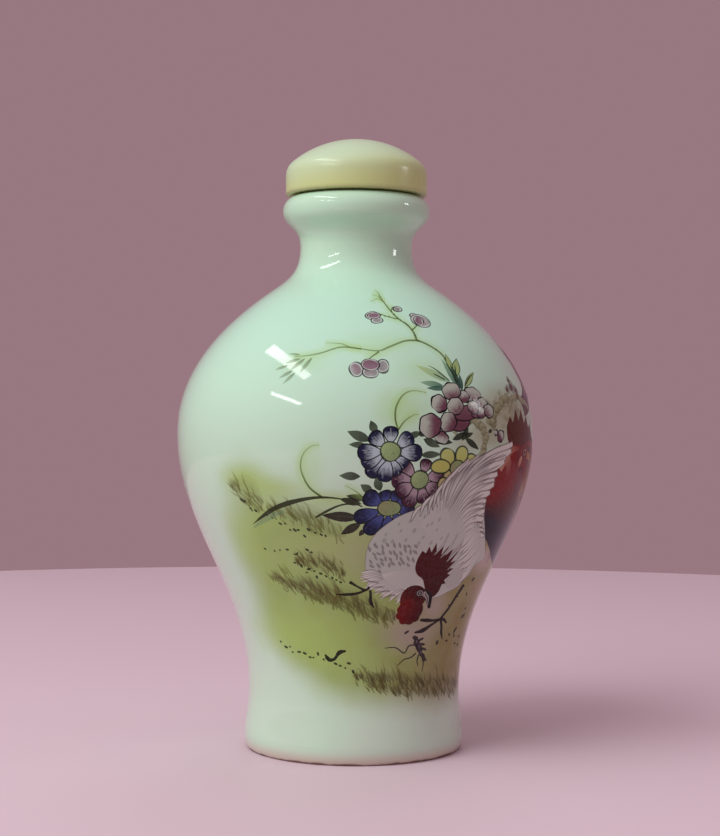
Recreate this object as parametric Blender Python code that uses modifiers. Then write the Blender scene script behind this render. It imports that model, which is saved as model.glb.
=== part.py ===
"""A porcelain snuff bottle of baluster form and its domed stopper, at real size: metres, +Z up.

The bottle is one hollow turned wall, from the recessed foot to the rolled lip, open at its mouth.
The stopper is one moulded piece, a domed cap with a short plug, and rests on the lip unfixed.
The origin is the middle of the foot ring, on the surface that the bottle stands on.
"""

import math

import bpy

# Clearance that lets the stopper lift off, under its cap and round its plug
STOPPER_GAP = 0.0003

# Bottle, outer side from the foot upwards: each radius with its height
FOOT_RING_RADIUS = 0.01300
FOOT_RADIUS = 0.01352
FOOT_HEIGHT = 0.00195
WAIST_RADIUS = 0.01299
WAIST_HEIGHT = 0.00695
BELLY_RADIUS = 0.02197
BELLY_HEIGHT = 0.03860
NECK_ROOT_RADIUS = 0.01105
NECK_ROOT_HEIGHT = 0.05564
NECK_ROOT_LEAN = math.radians(54.6)
NECK_RADIUS = 0.00694
NECK_HEIGHT = 0.06155
LIP_RADIUS = 0.00911
LIP_HEIGHT = 0.06598
LIP_TOP_RADIUS = 0.00740
LIP_TOP_HEIGHT = 0.06780

# How far each curve runs straight before it bends, at its lower and its upper end
FOOT_PULLS = (0.00060, 0.00135)
BODY_PULLS = (0.01300, 0.01185)
SHOULDER_PULLS = (0.00765, 0.00660)
NECK_PULLS = (0.00295, 0.00345)
LIP_PULLS = (0.00275, 0.00205)

# Bottle, underside and inner side
FOOT_RING_WIDTH = 0.00200
RECESS_RADIUS = 0.01040
RECESS_DEPTH = 0.00150
FLOOR_THICKNESS = 0.00260
FLOOR_CORNER_RADIUS = 0.00310
WALL_THICKNESS = 0.00250
MOUTH_ROUNDING = 0.00060
BORE_RADIUS = NECK_RADIUS - WALL_THICKNESS

# Stopper
CAP_RADIUS = 0.00875
CAP_UNDERSIDE_HEIGHT = LIP_TOP_HEIGHT + STOPPER_GAP
CAP_LOWER_ROUNDING = 0.00060
CAP_SIDE_TOP_HEIGHT = 0.07075
CAP_EDGE_INSET = 0.00050
CAP_EDGE_RISE = 0.00105
CAP_APEX_HEIGHT = 0.07490
PLUG_LENGTH = 0.00700
PLUG_TOP_RADIUS = BORE_RADIUS - STOPPER_GAP
PLUG_TIP_RADIUS = 0.00380
PLUG_TIP_ROUNDING = 0.00050

# Facets round the axis
BOTTLE_FACETS = 64
STOPPER_FACETS = 48

# sRGB colours with roughness
GLAZE = ((0.78, 0.90, 0.81), 0.08)
IVORY = ((0.85, 0.83, 0.65), 0.25)


def quarter(centre, reach, start, end, steps):
    """Points of an ellipse's arc. Angles are in degrees, with 0 outwards and 90 upwards."""
    points = []
    for step in range(steps + 1):
        angle = math.radians(start + (end - start) * step / steps)
        points.append((centre[0] + reach[0] * math.cos(angle), centre[1] + reach[1] * math.sin(angle)))
    return points


def curve(start, end, pulls, steps, start_lean=0.0, end_lean=0.0):
    """Points of a cubic curve between two (radius, height) points. A lean turns it inwards from upright."""
    leave = (
        start[0] - pulls[0] * math.sin(start_lean),
        start[1] + pulls[0] * math.cos(start_lean),
    )
    arrive = (
        end[0] + pulls[1] * math.sin(end_lean),
        end[1] - pulls[1] * math.cos(end_lean),
    )
    points = []
    for step in range(steps + 1):
        t = step / steps
        weights = ((1 - t) ** 3, 3 * t * (1 - t) ** 2, 3 * t * t * (1 - t), t**3)
        corners = (start, leave, arrive, end)
        points.append(tuple(sum(w * corner[i] for w, corner in zip(weights, corners)) for i in (0, 1)))
    return points


def chained(*stretches):
    """One list of points from stretches that meet end to end."""
    points = list(stretches[0])
    for stretch in stretches[1:]:
        points += stretch[1:]
    return points


def moved_inwards(points, distance):
    """An outer side, listed upwards, moved towards the axis at right angles to itself."""
    inner = []
    for index in range(1, len(points) - 1):
        (r0, z0), (r1, z1) = points[index - 1], points[index + 1]
        length = math.hypot(r1 - r0, z1 - z0)
        out_r, out_z = (z1 - z0) / length, (r0 - r1) / length
        r, z = points[index]
        inner.append((r - distance * out_r, z - distance * out_z))
    return inner


def body_side():
    """The outer side from the waist over the belly to the narrowest part of the neck."""
    waist = (WAIST_RADIUS, WAIST_HEIGHT)
    belly = (BELLY_RADIUS, BELLY_HEIGHT)
    root = (NECK_ROOT_RADIUS, NECK_ROOT_HEIGHT)
    neck = (NECK_RADIUS, NECK_HEIGHT)
    return chained(
        curve(waist, belly, BODY_PULLS, 11),
        curve(belly, root, SHOULDER_PULLS, 8, end_lean=NECK_ROOT_LEAN),
        curve(root, neck, NECK_PULLS, 5, start_lean=NECK_ROOT_LEAN),
    )


def outer_side():
    """The whole outer side, from the edge of the foot ring up to the flat top of the lip."""
    foot_rise = (FOOT_RADIUS - FOOT_RING_RADIUS, FOOT_HEIGHT)
    lip_round = (LIP_RADIUS - LIP_TOP_RADIUS, LIP_TOP_HEIGHT - LIP_HEIGHT)
    return chained(
        quarter((FOOT_RING_RADIUS, FOOT_HEIGHT), foot_rise, -90, 0, 3),
        curve((FOOT_RADIUS, FOOT_HEIGHT), (WAIST_RADIUS, WAIST_HEIGHT), FOOT_PULLS, 4),
        body_side(),
        curve((NECK_RADIUS, NECK_HEIGHT), (LIP_RADIUS, LIP_HEIGHT), LIP_PULLS, 5),
        quarter((LIP_TOP_RADIUS, LIP_HEIGHT), lip_round, 0, 90, 4),
    )


def inner_side():
    """The hollow, from the middle of its floor up to the edge of the mouth."""
    floor_height = RECESS_DEPTH + FLOOR_THICKNESS
    corner_centre_radius = WAIST_RADIUS - WALL_THICKNESS - FLOOR_CORNER_RADIUS
    corner = quarter(
        (corner_centre_radius, floor_height + FLOOR_CORNER_RADIUS),
        (FLOOR_CORNER_RADIUS, FLOOR_CORNER_RADIUS),
        -90,
        0,
        3,
    )
    wall = [
        point
        for point in moved_inwards(body_side(), WALL_THICKNESS)[::2]
        if point[1] > corner[-1][1] + WALL_THICKNESS / 2 and point[0] > BORE_RADIUS
    ]
    mouth = quarter(
        (BORE_RADIUS + MOUTH_ROUNDING, LIP_TOP_HEIGHT - MOUTH_ROUNDING),
        (MOUTH_ROUNDING, MOUTH_ROUNDING),
        180,
        90,
        2,
    )
    return [(0.0, floor_height), *corner, *wall, (BORE_RADIUS, NECK_HEIGHT), *mouth]


def bottle_profile():
    """The wall's closed section: up the inner side, over the lip, down the outer side, under the foot."""
    underside = [
        (FOOT_RING_RADIUS - FOOT_RING_WIDTH, 0.0),
        (RECESS_RADIUS, RECESS_DEPTH),
        (0.0, RECESS_DEPTH),
    ]
    return inner_side() + outer_side()[::-1] + underside


def stopper_profile():
    """Down the dome, the cap's side and underside, then the plug's side to the middle of its tip."""
    edge_radius = CAP_RADIUS - CAP_EDGE_INSET
    edge_height = CAP_SIDE_TOP_HEIGHT + CAP_EDGE_RISE
    dome_rise = CAP_APEX_HEIGHT - edge_height
    dome_radius = (edge_radius**2 + dome_rise**2) / (2 * dome_rise)
    dome_centre = (0.0, CAP_APEX_HEIGHT - dome_radius)
    dome_end = math.degrees(math.acos(edge_radius / dome_radius))
    plug_tip_height = CAP_UNDERSIDE_HEIGHT - PLUG_LENGTH
    dome = quarter(dome_centre, (dome_radius, dome_radius), 90, dome_end, 8)
    dome[0] = (0.0, CAP_APEX_HEIGHT)
    edge = [
        (CAP_RADIUS - 0.15 * CAP_EDGE_INSET, CAP_SIDE_TOP_HEIGHT + 0.5 * CAP_EDGE_RISE),
        (CAP_RADIUS, CAP_SIDE_TOP_HEIGHT),
    ]
    lower_edge = quarter(
        (CAP_RADIUS - CAP_LOWER_ROUNDING, CAP_UNDERSIDE_HEIGHT + CAP_LOWER_ROUNDING),
        (CAP_LOWER_ROUNDING, CAP_LOWER_ROUNDING),
        0,
        -90,
        3,
    )
    tip = quarter(
        (PLUG_TIP_RADIUS - PLUG_TIP_ROUNDING, plug_tip_height + PLUG_TIP_ROUNDING),
        (PLUG_TIP_ROUNDING, PLUG_TIP_ROUNDING),
        0,
        -90,
        2,
    )
    return [*dome, *edge, *lower_edge, (PLUG_TOP_RADIUS, CAP_UNDERSIDE_HEIGHT), *tip, (0.0, plug_tip_height)]


def linear(colour):
    """An sRGB colour as the linear RGBA that a shader takes."""
    return [c / 12.92 if c <= 0.04045 else ((c + 0.055) / 1.055) ** 2.4 for c in colour] + [1.0]


def finish(name, colour, roughness):
    """A glossy material."""
    material = bpy.data.materials.new(name)
    material.use_nodes = True
    shader = material.node_tree.nodes["Principled BSDF"]
    shader.inputs["Base Color"].default_value = linear(colour)
    shader.inputs["Roughness"].default_value = roughness
    return material


def turned(name, profile, facets, material, collection):
    """A solid of revolution about +Z, from a profile that runs down its outer side."""
    mesh = bpy.data.meshes.new(name)
    points = [(radius, 0.0, height) for radius, height in profile]
    mesh.from_pydata(points, [(i, i + 1) for i in range(len(points) - 1)], [])
    solid = bpy.data.objects.new(name, mesh)
    collection.objects.link(solid)
    screw = solid.modifiers.new("turn", "SCREW")
    screw.axis = "Z"
    screw.angle = math.tau
    screw.steps = facets
    screw.render_steps = facets
    screw.use_merge_vertices = True
    screw.merge_threshold = 0.00001
    screw.use_smooth_shade = True
    mesh.materials.append(material)
    return solid


def build():
    """The bottle with its stopper in place."""
    for leftover in list(bpy.data.objects):
        bpy.data.objects.remove(leftover)
    collection = bpy.data.collections.new("snuff_bottle")
    bpy.context.scene.collection.children.link(collection)
    turned("bottle", bottle_profile(), BOTTLE_FACETS, finish("glaze", *GLAZE), collection)
    turned("stopper", stopper_profile(), STOPPER_FACETS, finish("ivory", *IVORY), collection)


build()
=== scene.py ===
"""A porcelain snuff bottle with a painted picture and a cream stopper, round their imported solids.

Sizes are millimetres until a mesh is made. A place on the bottle is an angle in degrees with a height
above the table. Angle 0 is the front, towards -Y, and angles grow to the right, towards +X.
"""

import cmath
import math
import random

import bpy
import numpy as np
from mathutils import Matrix, Vector, noise
from mathutils.geometry import delaunay_2d_cdt


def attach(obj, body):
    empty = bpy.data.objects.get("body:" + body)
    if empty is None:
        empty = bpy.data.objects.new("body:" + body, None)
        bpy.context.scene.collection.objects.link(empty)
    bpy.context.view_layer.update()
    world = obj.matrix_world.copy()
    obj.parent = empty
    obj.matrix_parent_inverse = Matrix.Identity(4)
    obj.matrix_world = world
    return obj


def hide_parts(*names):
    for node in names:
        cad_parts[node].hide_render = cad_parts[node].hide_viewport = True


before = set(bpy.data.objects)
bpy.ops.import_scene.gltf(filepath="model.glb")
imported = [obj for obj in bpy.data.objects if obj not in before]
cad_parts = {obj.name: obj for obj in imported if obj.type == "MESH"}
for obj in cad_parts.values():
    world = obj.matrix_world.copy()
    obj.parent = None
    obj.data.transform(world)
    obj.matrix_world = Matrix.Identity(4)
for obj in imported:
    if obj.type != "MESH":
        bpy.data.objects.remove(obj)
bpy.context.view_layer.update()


# The bottle's body
# One thin porcelain wall, cast hollow, with a rolled lip and a recessed foot. Pale green glaze covers it
# all but the ring that it stands on, and the picture is fired onto the glaze in coloured enamels.

METRE = 1000.0

FOOT_RING_RADIUS = 13.00
FOOT_RADIUS = 13.52
FOOT_HEIGHT = 1.95
WAIST_RADIUS = 12.99
WAIST_HEIGHT = 6.95
BELLY_RADIUS = 21.97
BELLY_HEIGHT = 38.60
NECK_ROOT_RADIUS = 11.05
NECK_ROOT_HEIGHT = 55.64
NECK_ROOT_LEAN = math.radians(54.6)
NECK_RADIUS = 6.94
NECK_HEIGHT = 61.55
LIP_RADIUS = 9.11
LIP_HEIGHT = 65.98
LIP_TOP_RADIUS = 7.40
LIP_TOP_HEIGHT = 67.80
FOOT_PULLS = (0.60, 1.35)
BODY_PULLS = (13.00, 11.85)
SHOULDER_PULLS = (7.65, 6.60)
NECK_PULLS = (2.95, 3.45)
LIP_PULLS = (2.75, 2.05)
FOOT_RING_WIDTH = 2.00
RECESS_RADIUS = 10.40
RECESS_DEPTH = 1.50
FLOOR_THICKNESS = 2.60
FLOOR_CORNER_RADIUS = 3.10
WALL_THICKNESS = 2.50
MOUTH_ROUNDING = 0.60
BORE_RADIUS = NECK_RADIUS - WALL_THICKNESS
HOLLOW_COARSENESS = 3


def quarter(centre, reach, start, end, steps):
    """Points of an ellipse's arc. Angles are in degrees, with 0 outwards and 90 upwards."""
    points = []
    for step in range(steps + 1):
        angle = math.radians(start + (end - start) * step / steps)
        points.append((centre[0] + reach[0] * math.cos(angle), centre[1] + reach[1] * math.sin(angle)))
    return points


def curve(start, end, pulls, steps, start_lean=0.0, end_lean=0.0):
    """Points of a cubic curve between two (radius, height) points. A lean turns it inwards from upright."""
    leave = (start[0] - pulls[0] * math.sin(start_lean), start[1] + pulls[0] * math.cos(start_lean))
    arrive = (end[0] + pulls[1] * math.sin(end_lean), end[1] - pulls[1] * math.cos(end_lean))
    points = []
    for step in range(steps + 1):
        t = step / steps
        weights = ((1 - t) ** 3, 3 * t * (1 - t) ** 2, 3 * t * t * (1 - t), t**3)
        corners = (start, leave, arrive, end)
        points.append(tuple(sum(w * corner[i] for w, corner in zip(weights, corners)) for i in (0, 1)))
    return points


def chained(*stretches):
    """One list of points from stretches that meet end to end."""
    points = list(stretches[0])
    for stretch in stretches[1:]:
        points += stretch[1:]
    return points


def body_side(finer):
    """The outer side from the waist over the belly to the narrowest part of the neck."""
    waist = (WAIST_RADIUS, WAIST_HEIGHT)
    belly = (BELLY_RADIUS, BELLY_HEIGHT)
    root = (NECK_ROOT_RADIUS, NECK_ROOT_HEIGHT)
    neck = (NECK_RADIUS, NECK_HEIGHT)
    return chained(
        curve(waist, belly, BODY_PULLS, 40 * finer),
        curve(belly, root, SHOULDER_PULLS, 26 * finer, end_lean=NECK_ROOT_LEAN),
        curve(root, neck, NECK_PULLS, 14 * finer, start_lean=NECK_ROOT_LEAN),
    )


def outer_side(finer):
    """The whole outer side, from the edge of the foot ring up to the flat top of the lip."""
    foot_rise = (FOOT_RADIUS - FOOT_RING_RADIUS, FOOT_HEIGHT)
    lip_round = (LIP_RADIUS - LIP_TOP_RADIUS, LIP_TOP_HEIGHT - LIP_HEIGHT)
    return chained(
        quarter((FOOT_RING_RADIUS, FOOT_HEIGHT), foot_rise, -90, 0, 6 * finer),
        curve((FOOT_RADIUS, FOOT_HEIGHT), (WAIST_RADIUS, WAIST_HEIGHT), FOOT_PULLS, 8 * finer),
        body_side(finer),
        curve((NECK_RADIUS, NECK_HEIGHT), (LIP_RADIUS, LIP_HEIGHT), LIP_PULLS, 12 * finer),
        quarter((LIP_TOP_RADIUS, LIP_HEIGHT), lip_round, 0, 90, 8 * finer),
    )


def inner_side():
    """The hollow with the lip's flat top, from the lip's edge down to the middle of the hollow's floor."""
    floor_height = RECESS_DEPTH + FLOOR_THICKNESS
    corner_centre = (
        WAIST_RADIUS - WALL_THICKNESS - FLOOR_CORNER_RADIUS, floor_height + FLOOR_CORNER_RADIUS,
    )
    corner = quarter(corner_centre, (FLOOR_CORNER_RADIUS, FLOOR_CORNER_RADIUS), -90, 0, 6)
    side = body_side(1)
    wall = []
    for (r0, z0), (r, z), (r1, z1) in zip(side, side[1:], side[2:]):
        slope = math.hypot(r1 - r0, z1 - z0)
        inner_r = r - WALL_THICKNESS * (z1 - z0) / slope
        inner_z = z + WALL_THICKNESS * (r1 - r0) / slope
        if inner_z > corner[-1][1] + WALL_THICKNESS / 2 and inner_r > BORE_RADIUS:
            wall.append((inner_r, inner_z))
    mouth_centre = (BORE_RADIUS + MOUTH_ROUNDING, LIP_TOP_HEIGHT - MOUTH_ROUNDING)
    mouth = quarter(mouth_centre, (MOUTH_ROUNDING, MOUTH_ROUNDING), 90, 180, 4)
    upwards = [(0.0, floor_height), *corner, *wall[::HOLLOW_COARSENESS], (BORE_RADIUS, NECK_HEIGHT)]
    return mouth + upwards[::-1]


# The canvas is the outer side unrolled so that small shapes keep their form: a canvas point is a complex
# number, x round the bottle and y up it, and at the belly one unit is one millimetre.
FINER = 12
side = np.array(outer_side(FINER))
side_steps = np.hypot(*np.diff(side, axis=0).T)
side_length = np.concatenate([[0.0], np.cumsum(side_steps)])
middle_radius = (side[1:, 0] + side[:-1, 0]) / 2
canvas_rise = np.concatenate([[0.0], np.cumsum(side_steps * BELLY_RADIUS / middle_radius)])
side_slope = np.gradient(side, axis=0)
side_slope /= np.hypot(*side_slope.T)[:, None]
HALF_ROUND = math.pi * BELLY_RADIUS


def spot(degrees, height):
    """A place on the bottle as a canvas point."""
    return complex(math.radians(degrees) * BELLY_RADIUS, np.interp(height, side[:, 1], canvas_rise))


def enlarged(place):
    """How many canvas units one millimetre of the glaze is at a place."""
    return BELLY_RADIUS / np.interp(place.imag, canvas_rise, side[:, 0])


# Each thing painted is an outline on the canvas with its enamel. What comes later lies on what came first.
painted = []


def enamel(red, green, blue, strength=1.0):
    """An enamel's colour, from sRGB to linear, with how strongly it covers."""
    linear = [c / 12.92 if c <= 0.04045 else ((c + 0.055) / 1.055) ** 2.4 for c in (red, green, blue)]
    return (*linear, strength)


def thin(colour, strength):
    """An enamel's colour laid on with another strength."""
    return (*colour[:3], strength)


def paint(outline, near, far=None, start=0j, end=0j):
    """Fills an outline with one enamel, or shades it from near, at start, to far, at end."""
    painted.append((outline, np.array(near), None if far is None else np.array(far), start, end))


def moved(place, turn, distance):
    """The canvas point some millimetres from a place, at an angle in degrees."""
    return place + cmath.rect(enlarged(place) * distance, math.radians(turn))


UNSTEADY = 0.05
hand = random.Random(2)


def laid(place, turn, shape):
    """A shape drawn in millimetres along +x, laid at a place and turned. Its edge wavers, as by hand."""
    stretch = cmath.rect(enlarged(place), math.radians(turn))
    swell, start = hand.uniform(0.4, 1.0) * UNSTEADY, hand.uniform(0, math.tau)
    outline = []
    for point in shape:
        angle = cmath.phase(point)
        wave = swell * (math.cos(2 * angle + start) + 0.8 * math.cos(3 * angle - start))
        outline.append(place + stretch * point * (1 + wave / max(abs(point), 0.8)))
    return outline


def oval(length, width, count=22):
    """An oval round 0, with its length along +x."""
    return [
        complex(length * math.cos(math.tau * i / count), width * math.sin(math.tau * i / count)) / 2
        for i in range(count)
    ]


def drop(place, turn, length, width, near, far=None, start=0j, end=0j, corners=22):
    """Paints one oval of enamel at a place."""
    paint(laid(place, turn, oval(length, width, corners)), near, far, start, end)


BLADE_STEPS = 10


def blade(length, width, fullest, bluntness):
    """A leaf or petal from its root at 0. It is widest at fullest of its length; bluntness 1 is pointed."""
    bias = math.log(0.5) / math.log(fullest)
    upper = []
    for i in range(BLADE_STEPS + 1):
        forwards = (1 - math.cos(math.pi * i / BLADE_STEPS)) / 2
        half = width / 2 * max(math.sin(math.pi * forwards**bias), 0.0) ** bluntness
        upper.append(complex(length * forwards, half))
    return upper + [point.conjugate() for point in upper[-2:0:-1]]


def smooth_path(points, spacing):
    """Canvas points along a smooth curve through the given ones."""
    if len(points) == 2:
        points = [points[0], (points[0] + points[1]) / 2, points[1]]
    ends = [2 * points[0] - points[1], *points, 2 * points[-1] - points[-2]]
    path = [points[0]]
    for a, b, c, d in zip(ends, ends[1:], ends[2:], ends[3:]):
        count = max(2, math.ceil(abs(c - b) / spacing))
        for i in range(1, count + 1):
            t = i / count
            bend = (2 * a - 5 * b + 4 * c - d) * t * t + (3 * b - a - 3 * c + d) * t**3
            path.append((2 * b + (c - a) * t + bend) / 2)
    return path


def closed_path(points, spacing):
    """A smooth closed outline through canvas points."""
    return smooth_path(points + points[:1], spacing)[:-1]


def stroke(points, widths, near, far=None, spacing=0.44):
    """A brush stroke along canvas points. Its widths, in millimetres, are spread evenly over it."""
    path = smooth_path(points, spacing)
    left, right = [], []
    for i, point in enumerate(path):
        ahead = path[min(i + 1, len(path) - 1)] - path[max(i - 1, 0)]
        width = np.interp(i / (len(path) - 1), np.linspace(0, 1, len(widths)), widths)
        across = 1j * ahead / abs(ahead) * width / 2 * enlarged(point)
        left.append(point + across)
        right.append(point - across)
    paint(left + right[::-1], near, far, path[0], path[-1])


def spots(*places):
    """Several places on the bottle as canvas points."""
    return [spot(*place) for place in places]


# The ground: a patch of grass sprayed on thinly, with soft edges. It is green to the left, turns to earth
# over a stretch round the right side and goes partly green again beyond, between pairs of turns in radians.
# The earth is partly painted shade: its darker, warmer tone stands also for the dimmer light on that side.
# Softer patches lie in it and beside it: lime, sand, and a pale haze under the tendrils and feet.
GROUND_EDGE = closed_path(
    spots((-44, 33.4), (-36, 35.0), (-26, 33.4), (-16, 32.2), (0, 31), (30, 33), (70, 31), (112, 32),
          (140, 29), (154, 21), (148, 12), (120, 7.4), (60, 6.2), (20, 6.6), (-8, 7.4), (-28, 10.0),
          (-42, 13.5), (-48.5, 18.5), (-48, 25)),
    2.0,
)
GROUND_SOFTNESS = 7.0
GROUND_STRENGTH = 0.92
EARTH_AND_SHADE_COMES = (-0.1, 0.95)
EARTH_AND_SHADE_GOES = (1.35, 2.3)
EARTH_AND_SHADE_THAT_GOES = 0.8
MEADOW = enamel(0.60, 0.70, 0.375)
EARTH_AND_SHADE = enamel(0.545, 0.50, 0.29)
LIME = enamel(0.65, 0.765, 0.42)
SAND = enamel(0.65, 0.72, 0.48)
HAZE_GREEN = enamel(0.63, 0.80, 0.40)
HAZE_PALE = enamel(0.67, 0.63, 0.585)
HAZE_TAN = enamel(0.64, 0.655, 0.535)
PATCHES = [
    # middle, half width, half height, colour, strength
    (spot(-26, 15.4), 9.5, 4.6, LIME, 0.70),
    (spot(-8, 13.0), 9.0, 3.0, LIME, 0.40),
    (spot(-36, 33.6), 4.4, 2.4, LIME, 0.80),
    (spot(-26, 32.6), 4.4, 1.8, LIME, 0.60),
    (spot(-42, 26), 4.0, 6.0, LIME, 0.55),
    (spot(-6, 31.4), 4.6, 1.3, LIME, 0.55),
    (spot(-5, 25.6), 8.5, 3.2, SAND, 0.80),
    (spot(-14, 35), 2.4, 4.5, HAZE_GREEN, 0.30),
    (spot(14, 41.7), 4.0, 3.2, HAZE_GREEN, 0.42),
    (spot(22, 46), 4.6, 2.6, HAZE_GREEN, 0.26),
    (spot(10, 49.0), 7.0, 2.4, HAZE_GREEN, 0.20),
    (spot(-18, 46.8), 4.4, 2.0, HAZE_GREEN, 0.24),
    (spot(56, 41.2), 9.0, 4.4, HAZE_TAN, 0.95),
    (spot(44, 38.8), 5.6, 3.0, HAZE_TAN, 0.80),
    (spot(34, 37.6), 3.6, 2.0, HAZE_TAN, 0.50),
    (spot(27, 15.4), 5.4, 3.4, HAZE_PALE, 0.80),
    (spot(37, 18.6), 3.0, 2.6, HAZE_PALE, 0.90),
    (spot(2, 24.6), 3.0, 4.0, HAZE_PALE, 0.22),
    (spot(62, 23.6), 4.0, 2.6, enamel(0.74, 0.68, 0.65), 0.88),
    (spot(66, 20.4), 3.6, 2.2, enamel(0.64, 0.56, 0.46), 0.55),
]


def softly(value, low, high):
    """0 below low and 1 above high, with a smooth rise between them."""
    t = np.clip((value - low) / (high - low), 0.0, 1.0)
    return t * t * (3 - 2 * t)


def mottle(points, size, seed):
    """Soft noise from -1 to 1 over canvas points, with patches of about size."""
    return np.array([noise.noise(Vector((p.real / size, p.imag / size, seed))) for p in points])


def depth_inside(points, outline):
    """How far inside a closed outline each point is, in canvas units, and below 0 outside it."""
    nearest = np.full(len(points), np.inf)
    crossings = np.zeros(len(points), int)
    for a, b in zip(outline, outline[1:] + outline[:1]):
        share = np.clip(((points - a) * np.conj(b - a)).real / abs(b - a) ** 2, 0, 1)
        nearest = np.minimum(nearest, np.abs(points - a - share * (b - a)))
        spans = (a.imag > points.imag) != (b.imag > points.imag)
        with np.errstate(divide="ignore", invalid="ignore"):
            meets = a.real + (points.imag - a.imag) * (b.real - a.real) / (b.imag - a.imag)
        crossings += spans & (points.real < meets)
    return np.where(crossings % 2 == 1, nearest, -nearest)


def over(below, colour, strength):
    """Lays a colour over what is below it. Both are RGBA, and the result keeps its own strength."""
    strength = strength[:, None]
    kept = below[:, 3:] * (1 - strength)
    total = strength + kept
    mixed = (colour * strength + below[:, :3] * kept) / np.maximum(total, 1e-9)
    return np.concatenate([np.where(total > 1e-6, mixed, below[:, :3]), total], axis=1)


def sprayed(points):
    """The soft colours under the picture's drawing, as RGBA at each canvas point."""
    wavering = 0.7 * mottle(points, 5.0, 1.5) + 0.2 * mottle(points, 1.4, 7.5)
    inside = depth_inside(points, GROUND_EDGE) + wavering
    round_side = points.real / BELLY_RADIUS + 0.10 * mottle(points, 6.0, 3.5)
    # The earth mixed in here is partly painted shade round the bottle's right side.
    earth_and_shade = softly(round_side, *EARTH_AND_SHADE_COMES) * (1 - EARTH_AND_SHADE_THAT_GOES * softly(round_side, *EARTH_AND_SHADE_GOES))
    earth_and_shade = earth_and_shade[:, None]
    tone = np.array(MEADOW[:3]) * (1 - earth_and_shade) + np.array(EARTH_AND_SHADE[:3]) * earth_and_shade
    tone = tone * (1 + 0.07 * mottle(points, 3.0, 11.5))[:, None]
    patchy = GROUND_STRENGTH * (1 + 0.06 * mottle(points, 2.2, 5.5))
    bare = np.concatenate([tone, np.zeros((len(points), 1))], axis=1)
    colours = over(bare, tone, softly(inside, -0.45 * GROUND_SOFTNESS, 0.75 * GROUND_SOFTNESS) * patchy)
    for centre, half_width, half_height, colour, strength in PATCHES:
        away = points - centre
        reach = np.hypot(away.real / half_width, away.imag / half_height) / enlarged(centre)
        colours = over(
            colours, np.array(colour[:3]), strength * (1 - softly(reach + 0.2 * wavering, 0.1, 1.1)),
        )
    return colours


# Grass: bands of short hatched strokes that slope down to the right, with dark specks strewn beside them.
# The strokes lean to the left, give or take, and their roots are scattered off the band's line.
GRASS_OLIVE = enamel(0.35, 0.38, 0.16, 0.62)
GRASS_BROWN = enamel(0.27, 0.23, 0.12, 0.66)
GRASS_DARK = enamel(0.20, 0.17, 0.11, 0.68)
GRASS_FADED = enamel(0.42, 0.40, 0.20, 0.22)
GRASS_WASH = 0.10
GRASS_LEAN = 118
GRASS_SPACING = 0.7
SPECK = enamel(0.10, 0.12, 0.08, 0.90)
GRASS_BANDS = [
    # its line, strokes, their length, how thick the band is, enamel
    (spots((-42, 33.2), (-36, 32.6), (-30, 31.2)), 36, 2.0, 1.5, GRASS_OLIVE),
    (spots((-38, 31.4), (-31, 30.2)), 9, 1.5, 0.5, GRASS_OLIVE),
    (spots((-29, 30.8), (-17, 29.8), (-3, 27.6)), 60, 2.2, 1.5, GRASS_OLIVE),
    (spots((-22, 24.6), (-12, 24.4), (-3, 23.2)), 62, 1.8, 1.1, GRASS_BROWN),
    (spots((-34, 22.4), (-20, 21.6), (0, 20.0), (19, 17.8)), 140, 2.2, 1.3, GRASS_BROWN),
    (spots((-22, 20.8), (-4, 19.4), (16, 17.6)), 56, 2.2, 0.8, GRASS_OLIVE),
    (spots((0, 11.0), (18, 10.6), (40, 9.8), (80, 8.6)), 130, 2.1, 0.9, GRASS_DARK),
    (spots((8, 9.8), (34, 8.8), (70, 7.9)), 86, 1.9, 0.6, GRASS_BROWN),
    (spots((86, 12.8), (110, 11.4), (136, 10.2)), 50, 2.1, 0.8, GRASS_DARK),
    (spots((102, 20.0), (122, 19.0), (143, 17.0)), 46, 2.2, 0.8, GRASS_BROWN),
]
SPECK_TRAILS = [
    # from, to, specks, scatter
    ((-39, 31.2), (-33, 29.6), 5, 0.4),
    ((-30, 29.2), (-9, 26.8), 12, 0.7),
    ((-34, 25.5), (-14, 25.0), 8, 0.5),
    ((-23, 23.8), (-5, 21.8), 11, 0.5),
    ((-40, 14.5), (2, 10.8), 16, 0.6),
    ((50, 14.6), (68, 13.4), 6, 1.0),
    ((56, 19.6), (66, 16.0), 3, 0.7),
    ((84, 17.0), (100, 11.6), 9, 1.2),
    ((112, 24.0), (138, 21.0), 9, 0.8),
]


def along(points, share):
    """The canvas point at a share of the way along straight lines through the given points."""
    at = share * (len(points) - 1)
    before = min(int(at), len(points) - 2)
    return points[before] + (points[before + 1] - points[before]) * (at - before)


def grass_band(line, strokes, length, thickness, colour, chance):
    """Hatched strokes along a line, each leaning to the left as it rises and thinning out at its tip."""
    for share in (2.4, 1.7, 1.0):
        wash = (0.3 * thickness, share * thickness, share * thickness, 0.3 * thickness)
        stroke([moved(place, 90, -0.2 * length) for place in line], wash, thin(colour, GRASS_WASH))
    for _ in range(strokes):
        share = chance.random()
        root = moved(along(line, share), 90, chance.gauss(0, thickness * 0.45) - length / 2)
        tall = length * chance.uniform(0.6, 1.15) * (0.65 + 0.35 * math.sin(math.pi * share))
        lean = chance.gauss(GRASS_LEAN, 13)
        thick = chance.uniform(0.18, 0.38)
        bow = moved(root, lean + chance.gauss(-5, 9), tall / 2)
        stroke(
            [root, bow, moved(root, lean, tall)], (0.10, thick, 0.08), colour, GRASS_FADED, GRASS_SPACING,
        )


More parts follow.
